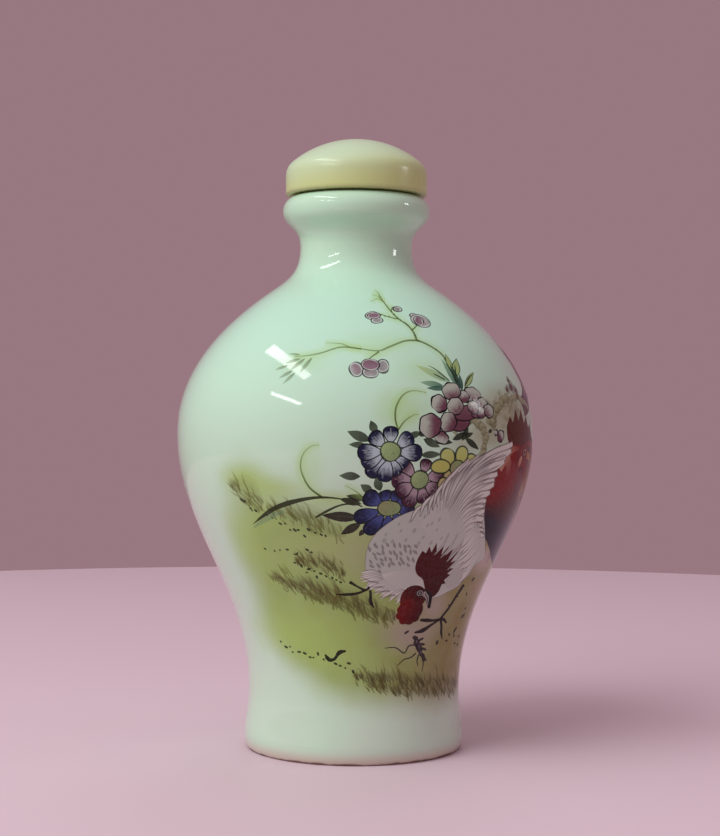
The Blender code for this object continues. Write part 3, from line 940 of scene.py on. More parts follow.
# The pale peach band under the comb is partly the breast's colour and partly a painted highlight.
stroke(
    spots((51, 34.6), (53, 35.6), (55.6, 36.6), (60.0, 37.0), (64, 36.8)), (0.9, 1.1, 0.9, 0.5, 0.2),
    ROOSTER_PEACH_AND_HIGHLIGHT, ROOSTER_RED,
)
stroke(
    spots((54.6, 36.4), (55.6, 35.2), (56.6, 33.4)), (0.5, 1.3, 1.0, 0.3), thin(ROOSTER_PEACH_AND_HIGHLIGHT, 0.75),
    thin(ROOSTER_RED, 0.3),
)
stroke(spots((61, 36.6), (61.6, 34.2), (61.0, 31.2)), (0.1, 0.26, 0.1), thin(ROOSTER_DARK_RED, 0.7))
drop(spot(66, 34.0), 80, 6.0, 2.4, thin(ROOSTER_DARK_RED, 0.55))
belly = closed_path(
    spots((43, 31.0), (52, 30.6), (62, 30.4), (72, 30.0), (84, 29.2), (96, 28.4), (104, 28.6),
          (102, 25.4), (92, 23.0), (80, 22.4), (70, 23.4), (62, 24.8), (54, 26.4), (47, 27.6)),
    BODY_SPACING,
)
paint(belly, thin(ROOSTER_DARK_RED, 0.0), ROOSTER_INK, spot(58, 30.6), spot(56, 28.4))
VIOLET_SHEEN = enamel(0.24, 0.12, 0.29, 0.20)
for share in (1.25, 1.0, 0.75, 0.5):
    drop(spot(68, 26.4), 70, 6.4 * share, 2.6 * share, VIOLET_SHEEN)
chance = random.Random(5)
for row in range(4):
    for i in range(7):
        degrees = 66 + 4.6 * i + 2.3 * (row % 2) + chance.uniform(-0.6, 0.6)
        place = spot(degrees, 32.6 - 1.9 * row + chance.uniform(-0.3, 0.3))
        scale_line = [moved(place, 200, 0.8), moved(place, 270, 0.5), moved(place, -20, 0.8)]
        stroke(scale_line, (0.05, 0.16, 0.05), enamel(0.10, 0.03, 0.06, 0.60))
for i in range(9):
    root = spot(80 + 2.3 * i, 32.4 - 0.28 * i)
    feather(root, spot(87 + 3.0 * i, 25.6 + 0.1 * i), 1.1, -0.10, ROOSTER_BROWN, ROOSTER_GOLD, TAIL_LINE)
for i in range(13):
    t = i / 12
    root = spot(69 + 8 * t, 37.4 - 0.4 * t)
    tip = spot(70 + 23 * t, 30.4 + 1.6 * t + 0.5 * (i % 2))
    feather(
        root, tip, 0.9, 0.10 - 0.20 * t, ROOSTER_BROWN if i % 2 else ROOSTER_RED, ROOSTER_GOLD, TAIL_LINE,
    )
for degrees, height, turn, length, width in ((70.0, 33.9, 72, 2.8, 1.6), (67.0, 36.0, 165, 4.2, 3.2)):
    place = spot(degrees, height)
    drop(place, turn, length, width, ROOSTER_INK)
    drop(place, turn, length - 0.24, width - 0.24, ROOSTER_FACE)
beak = spots((70.6, 36.2), (74.0, 35.9), (77.4, 34.7))
stroke(beak, (1.3, 1.0, 0.2), TAIL_LINE)
stroke([moved(place, 200, 0.1) for place in beak], (1.0, 0.72, 0.06), ROOSTER_GOLD)
drop(spot(64.0, 35.4), 60, 1.4, 0.9, ROOSTER_PEACH_AND_HIGHLIGHT, ROOSTER_RED, spot(64, 35.6), spot(64, 34.4))
for size, colour in ((1.1, TAIL_LINE), (0.86, ROOSTER_PEACH_AND_HIGHLIGHT), (0.56, TAIL_LINE)):
    drop(spot(67.4, 36.5), 0, size, size, colour, corners=12)

# The hen, white with grey quills, pecks with her head down. Her tail fans up over the rooster's breast.
HEN_WHITE = enamel(0.73, 0.75, 0.715)
HEN_COOL = enamel(0.70, 0.735, 0.695)
HEN_SHADE = enamel(0.58, 0.56, 0.56)
HEN_BRIGHT = enamel(0.83, 0.84, 0.805)
HEN_LINE = enamel(0.30, 0.26, 0.28, 0.80)
HEN_SOFT_LINE = enamel(0.38, 0.33, 0.35, 0.55)

hen_body = closed_path(
    spots((37, 32.8), (30, 31.6), (24.2, 30.9), (19.7, 30.3), (14.6, 29.6), (9.9, 28.5), (6.6, 27.4),
          (4.5, 26.0), (3.8, 24.6), (4.0, 23.0), (5.4, 21.6), (12, 20.6), (19, 20.0), (27, 19.6),
          (37, 19.6), (43, 20.2), (49, 20.9), (51, 22.2), (56, 23.4), (60, 23.9), (56, 25.6), (52, 27.4),
          (48, 29.6), (46, 31.6)),
    BODY_SPACING,
)
core = spot(30, 25.5)
paint(hen_body, HEN_SOFT_LINE)
paint(
    [p + (core - p) / abs(core - p) * 0.10 for p in hen_body], HEN_COOL, HEN_WHITE, spot(12, 27),
    spot(30, 23),
)
drop(spot(17, 21.6), 0, 6.4, 3.0, thin(HEN_BRIGHT, 0.45))
drop(spot(47, 22.2), 30, 5.0, 3.0, thin(HEN_SHADE, 0.25))

# The tail's feathers run from roots on her back to tips round its edge. Grey lines run along between them,
# and her back is laid over the roots again, thinning out towards the tail.
TAIL_ROOTS = spots(
    (25.4, 29.4), (27.6, 29.8), (29.4, 30.2), (30.0, 30.4), (30.6, 30.4), (31.2, 30.2), (31.8, 29.9),
    (32.4, 29.5), (33.2, 29.0), (34.2, 28.4), (35.4, 27.8), (36.8, 27.2), (38.6, 26.6), (40.6, 26.2),
)
TAIL_TIPS = spots(
    (26.2, 32.2), (30.0, 33.8), (34.4, 35.1), (40.0, 36.0), (47.6, 37.0), (58.4, 37.3), (54.0, 36.2),
    (51.6, 34.8), (50.0, 33.4), (48.6, 32.0), (47.7, 30.6), (48.6, 29.2), (50.6, 28.0), (53.4, 26.8),
)
chance = random.Random(14)
for i in range(23):
    share = min(max((i + chance.uniform(-0.25, 0.25)) / 22, 0), 1)
    root, tip = along(TAIL_ROOTS, share), along(TAIL_TIPS, share)
    tip += (tip - root) / abs(tip - root) * chance.uniform(-0.6, 0.9 if share < 0.4 else 0.2)
    width = chance.uniform(0.95, 1.15) + 0.55 * math.sin(math.pi * share)
    feather(root, tip, width, 0.14, HEN_WHITE, HEN_BRIGHT, HEN_SOFT_LINE, chance.uniform(0.14, 0.20))
for i in range(30):
    share = (i + chance.uniform(0.2, 0.8)) / 30
    root, tip = along(TAIL_ROOTS, share), along(TAIL_TIPS, share)
    start, end = chance.uniform(0.25, 0.6), chance.uniform(0.7, 0.97)
    bow = [
        root + (tip - root) * t + 1j * (tip - root) * 0.56 * t * (1 - t)
        for t in (start, (start + end) / 2, end)
    ]
    stroke(bow, (0.08, chance.uniform(0.24, 0.48), 0.06), thin(HEN_LINE, 0.22), thin(HEN_LINE, 0.60))
back = spots(
    (22, 28.4), (24.6, 29.8), (27.4, 30.6), (30.0, 31.2), (32.6, 31.6), (34.8, 31.2), (36.4, 30.2),
    (38.2, 29.0), (40.4, 28.0), (42.6, 27.0), (40, 25.4), (34, 25.4), (27, 27),
)
paint(back, HEN_WHITE, thin(HEN_WHITE, 0.0), spot(29.4, 29.0), spot(33.8, 31.4))
for root, tip in (
    ((18.6, 28.8), (22.0, 30.9)), ((21.4, 29.4), (24.6, 31.9)), ((24.2, 29.6), (27.0, 32.7)),
    ((25.6, 30.2), (28.8, 33.6)), ((28.0, 31.2), (31.2, 34.5)),
):
    feather(spot(*root), spot(*tip), 0.55, 0.12, HEN_COOL, HEN_BRIGHT, HEN_LINE, 0.10, pointed=True)
THIGH_TOPS = spots((44.6, 28.2), (48.0, 28.0), (51.0, 26.8), (54.4, 25.6), (56.0, 24.6), (53.0, 23.2))
THIGH_ENDS = spots((39.2, 25.4), (41.6, 24.8), (43.2, 23.6), (44.8, 22.6), (46.6, 21.8), (47.8, 21.2))
for i in range(13):
    share = i / 12
    start, end = along(THIGH_TOPS, share), along(THIGH_ENDS, share)
    end += (start - end) * chance.uniform(0.0, 0.35)
    middle = (start + end) / 2 + 1j * (end - start) * 0.10
    stroke([start, middle, end], (0.3, chance.uniform(0.5, 0.9), 0.1), HEN_WHITE, HEN_BRIGHT)
    edge = [p + 1j * (end - start) / abs(end - start) * 0.34 for p in (start, middle, end)]
    stroke(edge, (0.08, chance.uniform(0.28, 0.46), 0.08), thin(HEN_LINE, 0.10), thin(HEN_LINE, 0.72))
drop(
    spot(39.8, 25.2), 60, 2.2, 1.1, thin(HEN_SHADE, 0.75), thin(HEN_SHADE, 0.2), spot(39, 24.6),
    spot(41, 26.4),
)

# Short quill marks follow her neck in curved rows, dark and close, and fade out up her back.
chance = random.Random(8)
for row in range(5):
    for i in range(9):
        degrees = 5.6 + 2.0 * i + 1.0 * (row % 2) + chance.uniform(-0.5, 0.5)
        height = 22.9 + 0.72 * row + 0.30 * math.sin(math.radians(18 * i)) + chance.uniform(-0.2, 0.2)
        place = spot(degrees, height)
        if abs(place - spot(30, 22.6)) > 3.6 and (row > 0 or i < 3):
            lean = chance.gauss(116, 14)
            size = chance.uniform(0.30, 0.44)
            mark = [moved(place, lean + 180, size), moved(place, lean + 8, size)]
            stroke(mark, (0.12, chance.uniform(0.28, 0.42), 0.12), thin(HEN_LINE, 0.54))
for degrees, height, size in (
    (10.5, 27.4, 0.3), (10.1, 26.7, 0.5), (7.0, 26.3, 0.3), (15.5, 27.8, 0.3), (20.2, 27.8, 0.45),
    (24.0, 27.0, 0.3), (17.7, 26.7, 0.35), (22.7, 26.3, 0.4), (27.4, 26.3, 0.35), (24.7, 28.4, 0.3),
    (31.3, 26.8, 0.3), (28.7, 29.0, 0.35), (26.2, 28.6, 0.3), (23.1, 29.4, 0.3), (18.2, 28.9, 0.3),
    (13.0, 26.6, 0.35), (14.6, 28.6, 0.25), (28.6, 27.8, 0.25),
):
    drop(spot(degrees, height), 70, size + 0.25, size, thin(HEN_LINE, 0.30), corners=10)

# A ruff of loose white feathers hangs at her shoulder.
RUFF_ROOTS = spots((10, 22.8), (12, 22.0), (15, 21.4), (20, 20.9), (23, 20.6))
RUFF_TIPS = spots((3.2, 23.1), (2.5, 22.2), (5.0, 20.8), (11.4, 19.8), (18.4, 19.2))
for i in range(17):
    root, tip = along(RUFF_ROOTS, i / 16), along(RUFF_TIPS, i / 16)
    tip += (tip - root) * chance.uniform(-0.22, 0.12)
    feather(
        root, tip, chance.uniform(0.36, 0.58), -0.10, HEN_WHITE, HEN_BRIGHT, HEN_SOFT_LINE, 0.08,
        pointed=True,
    )
for root, middle, tip in (
    ((9.5, 21.7), (6, 21.9), (2.6, 22.4)), ((12.5, 21.2), (8, 21.2), (4.4, 21.3)),
    ((14.5, 20.7), (10, 20.6), (6.8, 20.4)), ((17, 20.2), (13, 20.0), (10, 19.8)),
):
    stroke(spots(root, middle, tip), (0.26, 0.16, 0.05), thin(HEN_LINE, 0.55))
drop(spot(19.5, 22.0), 10, 5.4, 2.4, thin(HEN_WHITE, 0.85))

# Her comb is dark red with long ragged points. Her face is a red disc with a full wattle and a hooked beak.
COMB_DARK = enamel(0.255, 0.02, 0.035)
COMB_RED = enamel(0.29, 0.03, 0.04)
FACE_RED = enamel(0.41, 0.04, 0.035)
comb = smooth_path(
    spots((23.9, 24.8), (23.3, 24.0), (23.5, 23.2), (25.0, 22.5), (27.6, 22.0), (29.2, 21.2),
          (30.8, 20.2), (33.0, 19.7), (35.6, 19.8), (37.4, 20.4), (37.9, 21.2)),
    0.5,
)
comb += spots(
    (39.8, 21.3), (38.4, 21.7), (40.8, 22.3), (39.0, 22.5), (41.6, 23.1), (39.2, 23.1), (42.4, 24.2),
    (38.8, 23.8), (40.8, 25.1), (37.2, 24.3), (38.0, 25.5), (35.0, 24.7), (35.6, 25.9), (33.2, 24.8),
    (33.2, 26.2), (31.0, 25.0), (29.8, 26.3), (28.6, 25.2), (27.2, 25.9), (26.4, 25.1), (24.8, 25.4),
)
paint(comb, COMB_DARK, COMB_RED, spot(36, 21), spot(27, 24))
for root, tip in (
    ((41.6, 26.6), (36.6, 23.9)), ((38.0, 27.4), (33.2, 24.4)), ((43.6, 25.4), (38.4, 22.9)),
    ((34.0, 27.4), (30.0, 24.8)),
):
    feather(spot(*root), spot(*tip), 0.36, 0.08, HEN_WHITE, HEN_COOL, HEN_LINE, 0.06, pointed=True)
face = spot(25.4, 19.7)
drop(face, 60, 3.5, 3.3, COMB_DARK, FACE_RED, moved(face, 70, 1.2), moved(face, 240, 1.8))
wattle = spot(25.2, 18.2)
for lean, size in ((0, 3.3), (170, 1.4), (205, 1.6), (240, 1.7), (275, 1.7), (312, 1.6), (350, 1.3)):
    place = moved(wattle, lean, 0.0 if size > 2 else 1.0)
    drop(
        place, lean, size, size * 0.94, FACE_RED, COMB_DARK, moved(wattle, 170, 0.8),
        moved(wattle, -20, 1.4), corners=20,
    )
drop(moved(face, 20, 0.9), 60, 1.9, 1.7, thin(COMB_DARK, 0.6))
BEAK_GREY = enamel(0.60, 0.57, 0.55)
BEAK_LINE = enamel(0.08, 0.05, 0.06)
beak = spots((29.6, 20.3), (32.6, 19.8), (34.6, 18.6))
stroke([*beak[:2], moved(beak[2], 280, 0.25)], (0.9, 1.0, 0.34), BEAK_LINE)
stroke([beak[0], moved(beak[1], 215, 0.16), moved(beak[2], 150, 0.36)], (0.62, 0.44, 0.10), BEAK_GREY)
stroke(spots((30.6, 20.2), (32.4, 19.6), (33.4, 18.9)), (0.08, 0.10, 0.05), BEAK_LINE)
eye = spot(28.0, 20.3)
for size, colour in ((1.02, BEAK_LINE), (0.80, BEAK_GREY), (0.56, BEAK_LINE), (0.16, HEN_BRIGHT)):
    drop(eye, 0, size, size * 0.94, colour, corners=14)

# Her feet are thin and dark with long spread toes.
FOOT_DARK = enamel(0.12, 0.07, 0.08, 0.97)
for route, widths in (
    (spots((6.0, 21.2), (4.6, 20.8), (1.6, 21.2), (-1.8, 21.8)), (0.34, 0.30, 0.26, 0.44)),
    (spots((4.8, 20.9), (2.0, 20.5), (-2.2, 20.3), (-7.4, 20.3)), (0.28, 0.34, 0.40, 0.08)),
    (spots((6.4, 20.8), (6.7, 20.2), (6.8, 19.5), (8.3, 18.7)), (0.30, 0.34, 0.46, 0.16)),
    (spots((52, 20.9), (49.4, 19.5), (47, 18.2), (43.2, 16.9)), (0.62, 0.46, 0.40)),
    (spots((43.2, 16.9), (39, 16.8), (35, 16.9), (31.2, 17.0)), (0.34, 0.32, 0.50, 0.30)),
    (spots((43.2, 16.9), (38.5, 16.3), (34, 15.7), (29.4, 15.5)), (0.34, 0.34, 0.62, 0.20)),
    (spots((43.6, 16.8), (45.4, 16.0), (46.4, 15.2), (48.4, 14.3)), (0.36, 0.36, 0.42, 0.12)),
    (spots((43.2, 16.9), (45.6, 16.8), (48.6, 16.3)), (0.34, 0.42, 0.24)),
    (spots((49.4, 19.6), (51.2, 19.4)), (0.30, 0.08)),
    (spots((47.4, 18.4), (45.8, 18.6)), (0.30, 0.08)),
):
    stroke(route, widths, FOOT_DARK)

# The insect she is after: a small dark body with thin bent legs.
INSECT = enamel(0.15, 0.10, 0.15, 0.94)
INSECT_PALE = enamel(0.42, 0.36, 0.42, 0.9)
for degrees, height, turn, length, width in (
    (30.6, 14.8, 150, 0.9, 0.6), (31.8, 14.2, 130, 1.1, 0.9), (33.8, 13.5, 138, 1.3, 0.85),
    (36.0, 12.7, 140, 1.2, 0.55), (37.4, 12.1, 140, 0.8, 0.3), (33.8, 14.6, 20, 0.9, 0.34),
    (35.2, 14.0, -10, 0.9, 0.34), (36.6, 13.4, -20, 0.9, 0.32),
):
    drop(spot(degrees, height), turn, length, width, INSECT, corners=14)
for degrees, height in ((31.6, 14.4), (33.4, 13.8), (35.2, 13.0)):
    drop(spot(degrees, height), 110, 0.42, 0.22, INSECT_PALE, corners=9)
for route in (
    spots((30.4, 14.0), (27.4, 13.9), (25.4, 13.1), (20.4, 13.8), (15.0, 13.8)),
    spots((32.2, 13.0), (29.4, 12.5), (25.6, 12.3), (22.3, 11.6)),
    spots((36.4, 12.4), (37.6, 11.6), (37.2, 10.6)),
    spots((34.0, 12.8), (33.4, 12.0), (34.4, 11.4)),
    spots((37.6, 12.4), (39.8, 11.9)),
):
    stroke(route, (0.20, 0.18, 0.15, 0.10), INSECT)
drop(spot(25.2, 15.6), 30, 0.7, 0.34, INSECT, corners=9)


# The skin: the canvas is cut along every outline, so each enamel ends in a clean edge, and is then wrapped
# round the side. Rings of the same turn close it over the lip, down the hollow and under the foot.
COLUMNS = 120
PICTURE_START = spot(-63, 5.6)
PICTURE_END = spot(158, 57.0)
GRAIN = 0.86
GRAIN_ROWS = 0.87 * GRAIN
CUT_TOLERANCE = 1e-5
WELD_DISTANCE = 0.0001


def turned(profile):
    """The skin of a profile turned about the axis, as vertices, normals, triangles and corner places.

    A corner's place is how far it is round the turn, in radians, and along the profile, in millimetres.
    """
    profile = np.array(profile)
    steps = np.diff(profile, axis=0)
    lengths = np.hypot(*steps.T)
    travelled = np.concatenate([[0.0], np.cumsum(lengths)])
    ways = steps / lengths[:, None]
    ways = np.concatenate([ways[:1], ways]) + np.concatenate([ways, ways[-1:]])
    ways /= np.hypot(*ways.T)[:, None]
    turns = np.linspace(-math.pi, math.pi, COLUMNS + 1)
    rows = np.repeat(np.arange(len(profile)), COLUMNS + 1)
    angles = np.tile(turns, len(profile))
    vertices, normals = wrapped(angles, *profile[rows].T, *ways[rows].T)
    numbers = np.arange(len(rows)).reshape(len(profile), COLUMNS + 1)
    where = np.stack([angles, travelled[rows]], axis=1)
    a, b = numbers[:-1, :-1].ravel(), numbers[:-1, 1:].ravel()
    c, d = numbers[1:, 1:].ravel(), numbers[1:, :-1].ravel()
    triangles = np.concatenate([np.stack([a, b, c], axis=1), np.stack([a, c, d], axis=1)])
    corners = where[triangles]
    on_axis = profile[rows[triangles], 0] < 1e-9
    middles = (turns[1] - turns[0]) / 2 + np.concatenate([where[a, 0], where[a, 0]])
    corners[:, :, 0] = np.where(on_axis, middles[:, None], corners[:, :, 0])
    kept = on_axis.sum(axis=1) < 2
    return vertices, normals, triangles[kept], corners[kept]


def wrapped(angles, radii, heights, out_way, up_way):
    """Points and normals round the axis. A way is the direction in which the profile runs on."""
    vertices = np.stack([radii * np.sin(angles), -radii * np.cos(angles), heights], axis=1)
    normals = np.stack([up_way * np.sin(angles), -up_way * np.cos(angles), -out_way], axis=1)
    return vertices, normals


def welded(skins):
    """Several skins as one. Vertices that meet become one, and triangles that close up are left out."""
    vertices = np.concatenate([skin[0] for skin in skins])
    normals = np.concatenate([skin[1] for skin in skins])
    starts = np.cumsum([0] + [len(skin[0]) for skin in skins])
    triangles = np.concatenate([skin[2] + start for skin, start in zip(skins, starts)])
    places = np.rint(vertices / WELD_DISTANCE).astype(int)
    _, first, merged = np.unique(places, axis=0, return_index=True, return_inverse=True)
    merged = merged.ravel()
    summed = np.zeros((len(first), 3))
    np.add.at(summed, merged, normals)
    triangles = merged[triangles]
    a, b, c = triangles.T
    kept = (a != b) & (b != c) & (c != a)
    return vertices[first], summed / np.linalg.norm(summed, axis=1)[:, None], triangles[kept], kept


def built(name, vertices, normals, triangles, corners):
    """An object in metres from a skin, with its corners laid out on the OFBake map."""
    mesh = bpy.data.meshes.new(name)
    mesh.from_pydata((vertices / METRE).tolist(), [], triangles.tolist(), shade_flat=False)
    mesh.normals_split_custom_set_from_vertices(normals.tolist())
    mesh.uv_layers.new(name="OFBake").data.foreach_set("uv", corners.astype(np.float32).ravel())
    made = bpy.data.objects.new(name, mesh)
    bpy.context.scene.collection.objects.link(made)
    return made


columns = np.linspace(-HALF_ROUND, HALF_ROUND, COLUMNS + 1)
points = [complex(x, y) for y in canvas_rise[::FINER] for x in columns]
for row, y in enumerate(np.arange(PICTURE_START.imag, PICTURE_END.imag, GRAIN_ROWS)):
    row_start = PICTURE_START.real + row % 2 * GRAIN / 2
    points += [complex(x, y) for x in np.arange(row_start, PICTURE_END.real, GRAIN)]
outlines = []
for outline, *_ in painted:
    area = sum((a.conjugate() * b).imag for a, b in zip(outline, outline[1:] + outline[:1]))
    numbers = range(len(points), len(points) + len(outline))
    outlines.append(list(numbers if area > 0 else reversed(numbers)))
    points += outline
cut, _, triangles, _, _, covers = delaunay_2d_cdt(
    [Vector((p.real, p.imag)) for p in points], [], outlines, 0, CUT_TOLERANCE, True
)
cut = np.array([complex(*point) for point in cut])
triangles = np.array(triangles)

# Every corner takes the sprayed colours first, then each enamel that covers its triangle, in order.
near = np.array([item[1] for item in painted])
far = np.array([item[1] if item[2] is None else item[2] for item in painted])
starts = np.array([item[3] for item in painted])
spans = np.array([item[4] - item[3] if item[4] != item[3] else 1 for item in painted])
covers = [sorted(numbers) for numbers in covers]
colours = sprayed(cut)[triangles]
for level in range(max(map(len, covers))):
    these = [i for i, numbers in enumerate(covers) if len(numbers) > level]
    layer = np.array([covers[i][level] for i in these])
    for corner in range(3):
        offset = cut[triangles[these, corner]] - starts[layer]
        t = np.clip((offset / spans[layer]).real, 0, 1)[:, None]
        fill = near[layer] * (1 - t) + far[layer] * t
        colours[these, corner] = over(colours[these, corner], fill[:, :3], fill[:, 3])

angles = cut.real / BELLY_RADIUS
heights = np.interp(cut.imag, canvas_rise, side[:, 1])
radii = np.interp(cut.imag, canvas_rise, side[:, 0])
out_way = np.interp(cut.imag, canvas_rise, side_slope[:, 0])
up_way = np.interp(cut.imag, canvas_rise, side_slope[:, 1])
lengths = np.interp(cut.imag, canvas_rise, side_length)
outer_corners = np.stack([angles, lengths], axis=1)[triangles]
outer_skin = (*wrapped(angles, radii, heights, out_way, up_way), triangles, outer_corners)

# Under the foot, the recess runs into the ring and the ring into its standing edge with small roundings.
ring_inner = FOOT_RING_RADIUS - FOOT_RING_WIDTH
underside = [(0.0, RECESS_DEPTH), (5.0, RECESS_DEPTH), (RECESS_RADIUS - 0.5, RECESS_DEPTH)]
underside += [(RECESS_RADIUS - 0.1, RECESS_DEPTH - 0.1), (RECESS_RADIUS + 0.06, RECESS_DEPTH - 0.4)]
underside += [(ring_inner - 0.08, 0.25), (ring_inner + 0.02, 0.07), (ring_inner + 0.18, 0.0)]
underside += [(FOOT_RING_RADIUS, 0.0)]
under_skin = turned(underside)
inner_skin = turned([(LIP_TOP_RADIUS, LIP_TOP_HEIGHT), *inner_side()])
vertices, normals, triangles, kept = welded([outer_skin, inner_skin, under_skin])

# On the OFBake map the picture's part of the turn gets three quarters of the width, and the outer side
# four fifths of the height.
MAP_MARGIN = 0.004
ROUND_MAP = ((-180, -66, 160, 180), (MAP_MARGIN, 0.17, 0.93, 1 - MAP_MARGIN))
OUTER_BAND = (MAP_MARGIN, 0.80)
INNER_BAND = (0.81, 0.96)
UNDER_BAND = (0.965, 1 - MAP_MARGIN)
maps = []
for skin, (low, high) in ((outer_skin, OUTER_BAND), (inner_skin, INNER_BAND), (under_skin, UNDER_BAND)):
    across = np.interp(np.degrees(skin[3][:, :, 0]), *ROUND_MAP)
    up = skin[3][:, :, 1]
    maps.append(np.stack([across, low + (high - low) * up / up.max()], axis=2))
bottle = built("glazed_bottle", vertices, normals, triangles, np.concatenate(maps)[kept])
bare = np.zeros((len(inner_skin[2]) + len(under_skin[2]), 3, 4))
picture = bottle.data.color_attributes.new("picture", "FLOAT_COLOR", "CORNER")
picture.data.foreach_set("color", np.concatenate([colours, bare])[kept].astype(np.float32).ravel())


def node(tree, kind, inputs=None, **settings):
    """A node with its settings and inputs. An input is a plain value or another node's output."""
    made = tree.nodes.new(kind)
    for name, value in settings.items():
        setattr(made, name, value)
    for name, value in (inputs or {}).items():
        if isinstance(value, bpy.types.NodeSocket):
            tree.links.new(value, made.inputs[name])
        else:
            made.inputs[name].default_value = value
    return made


def ramp(tree, value, start=0.0, end=1.0, low=0.0, high=1.0, kind="LINEAR"):
    """A value stretched so that start becomes low and end becomes high, and held beyond them."""
    ends = {"From Min": start, "From Max": end, "To Min": low, "To Max": high}
    return node(tree, "ShaderNodeMapRange", {"Value": value, **ends}, interpolation_type=kind).outputs[0]


def maths(tree, operation, *values):
    """One sum on plain numbers or other nodes' outputs."""
    return node(tree, "ShaderNodeMath", dict(enumerate(values)), operation=operation).outputs[0]


def effect(name, inputs, output_name, output_kind):
    """An empty node group with its named inputs, each a number, and one output."""
    tree = bpy.data.node_groups.new(name, "ShaderNodeTree")
    for input_name, value in inputs.items():
        made = tree.interface.new_socket(input_name, in_out="INPUT", socket_type="NodeSocketFloat")
        made.default_value = value
    tree.interface.new_socket(output_name, in_out="OUTPUT", socket_type=output_kind)
    return tree, tree.nodes.new("NodeGroupInput").outputs, tree.nodes.new("NodeGroupOutput").inputs


def group(tree, effect_tree, **inputs):
    """One use of an effect."""
    return node(tree, "ShaderNodeGroup", inputs, node_tree=effect_tree).outputs[0]


def blend(tree, factor, first, second):
    """A colour between two others."""
    mixed = node(tree, "ShaderNodeMix", {0: factor}, data_type="RGBA")
    for socket, colour in ((mixed.inputs[6], first), (mixed.inputs[7], second)):
        if isinstance(colour, bpy.types.NodeSocket):
            tree.links.new(colour, socket)
        else:
            socket.default_value = colour
    return mixed.outputs[2]


def finish(name):
    """A new material with its node tree and its main shader."""
    material = bpy.data.materials.new(name)
    material.use_nodes = True
    return material, material.node_tree, material.node_tree.nodes["Principled BSDF"]


# Mottling: soft patches, as a mask from 0 to 1. Patch is their size in metres.
mottling, given, result = effect(
    "mottling", {"Patch": 0.004, "Low": 0.4, "High": 0.6}, "Mask", "NodeSocketFloat",
)
place = node(mottling, "ShaderNodeTexCoord").outputs["Object"]
scale = maths(mottling, "DIVIDE", 1.0, given["Patch"])
patches = node(
    mottling, "ShaderNodeTexNoise", {"Vector": place, "Scale": scale, "Detail": 3.0},
).outputs[0]
mottling.links.new(ramp(mottling, patches, given["Low"], given["High"], kind="SMOOTHSTEP"), result[0])

# Uneven surface: waves and ripples of a surface that flowed or was polished. Width and Depth are in metres.
uneven, given, result = effect(
    "uneven_surface", {"Width": 0.004, "Depth": 0.00002}, "Normal", "NodeSocketVector",
)
place = node(uneven, "ShaderNodeTexCoord").outputs["Object"]
scale = maths(uneven, "DIVIDE", 1.0, given["Width"])
waves = node(uneven, "ShaderNodeTexNoise", {"Vector": place, "Scale": scale, "Detail": 2.0}).outputs[0]
bumps = node(
    uneven, "ShaderNodeBump", {"Strength": 1.0, "Distance": given["Depth"], "Height": waves},
).outputs[0]
uneven.links.new(bumps, result[0])

# The glaze is bluer on the shoulder, warmer and cloudier below, and thin at the foot. The warmer, paler
# tone low down is partly painted light: it stands also for the pink light thrown up from the table. Each
# pair of heights, in metres, is where one change begins and where it is complete.
GLAZE = enamel(0.735, 0.92, 0.825)
GLAZE_WARM_AND_UPLIGHT = enamel(0.76, 0.89, 0.79)
GLAZE_PALE_AND_UPLIGHT = enamel(0.775, 0.865, 0.79)
GLAZE_NECK = enamel(0.75, 0.905, 0.79)
GLAZE_FOOT = enamel(0.79, 0.75, 0.69)
WARM_AND_UPLIGHT_HEIGHTS = (0.052, 0.034)
PALE_AND_UPLIGHT_HEIGHTS = (0.032, 0.016)
NECK_HEIGHTS = (0.054, 0.061)
FOOT_HEIGHTS = (0.0019, 0.0001)

glaze, tree, shader = finish("painted_glaze")
place = node(tree, "ShaderNodeTexCoord").outputs["Object"]
height = node(tree, "ShaderNodeSeparateXYZ", {0: place}).outputs["Z"]
body_colour = blend(tree, ramp(tree, height, *WARM_AND_UPLIGHT_HEIGHTS), GLAZE, GLAZE_WARM_AND_UPLIGHT)
clouds = group(tree, mottling, Patch=0.014, Low=0.25, High=0.75)
# Paler patches low down, partly painted light thrown up from the table.
paler_and_uplit = maths(tree, "MULTIPLY", ramp(tree, height, *PALE_AND_UPLIGHT_HEIGHTS), clouds)
body_colour = blend(tree, paler_and_uplit, body_colour, GLAZE_PALE_AND_UPLIGHT)
body_colour = blend(tree, ramp(tree, height, *NECK_HEIGHTS), body_colour, GLAZE_NECK)
thin_glaze = ramp(tree, height, *FOOT_HEIGHTS, kind="SMOOTHSTEP")
body_colour = blend(tree, thin_glaze, body_colour, GLAZE_FOOT)

# The picture covers the glaze, a little thinner here and there.
GRAIN_PATCH = 0.00045
THINNEST_COVER = 0.975
paint_layer = node(tree, "ShaderNodeAttribute", attribute_name="picture")
grainy = group(tree, mottling, Patch=GRAIN_PATCH, Low=0.35, High=0.80)
thinner = ramp(tree, grainy, low=1.0, high=THINNEST_COVER)
coverage = maths(tree, "MULTIPLY", paint_layer.outputs["Alpha"], thinner)
surface_colour = blend(tree, coverage, body_colour, paint_layer.outputs["Color"])

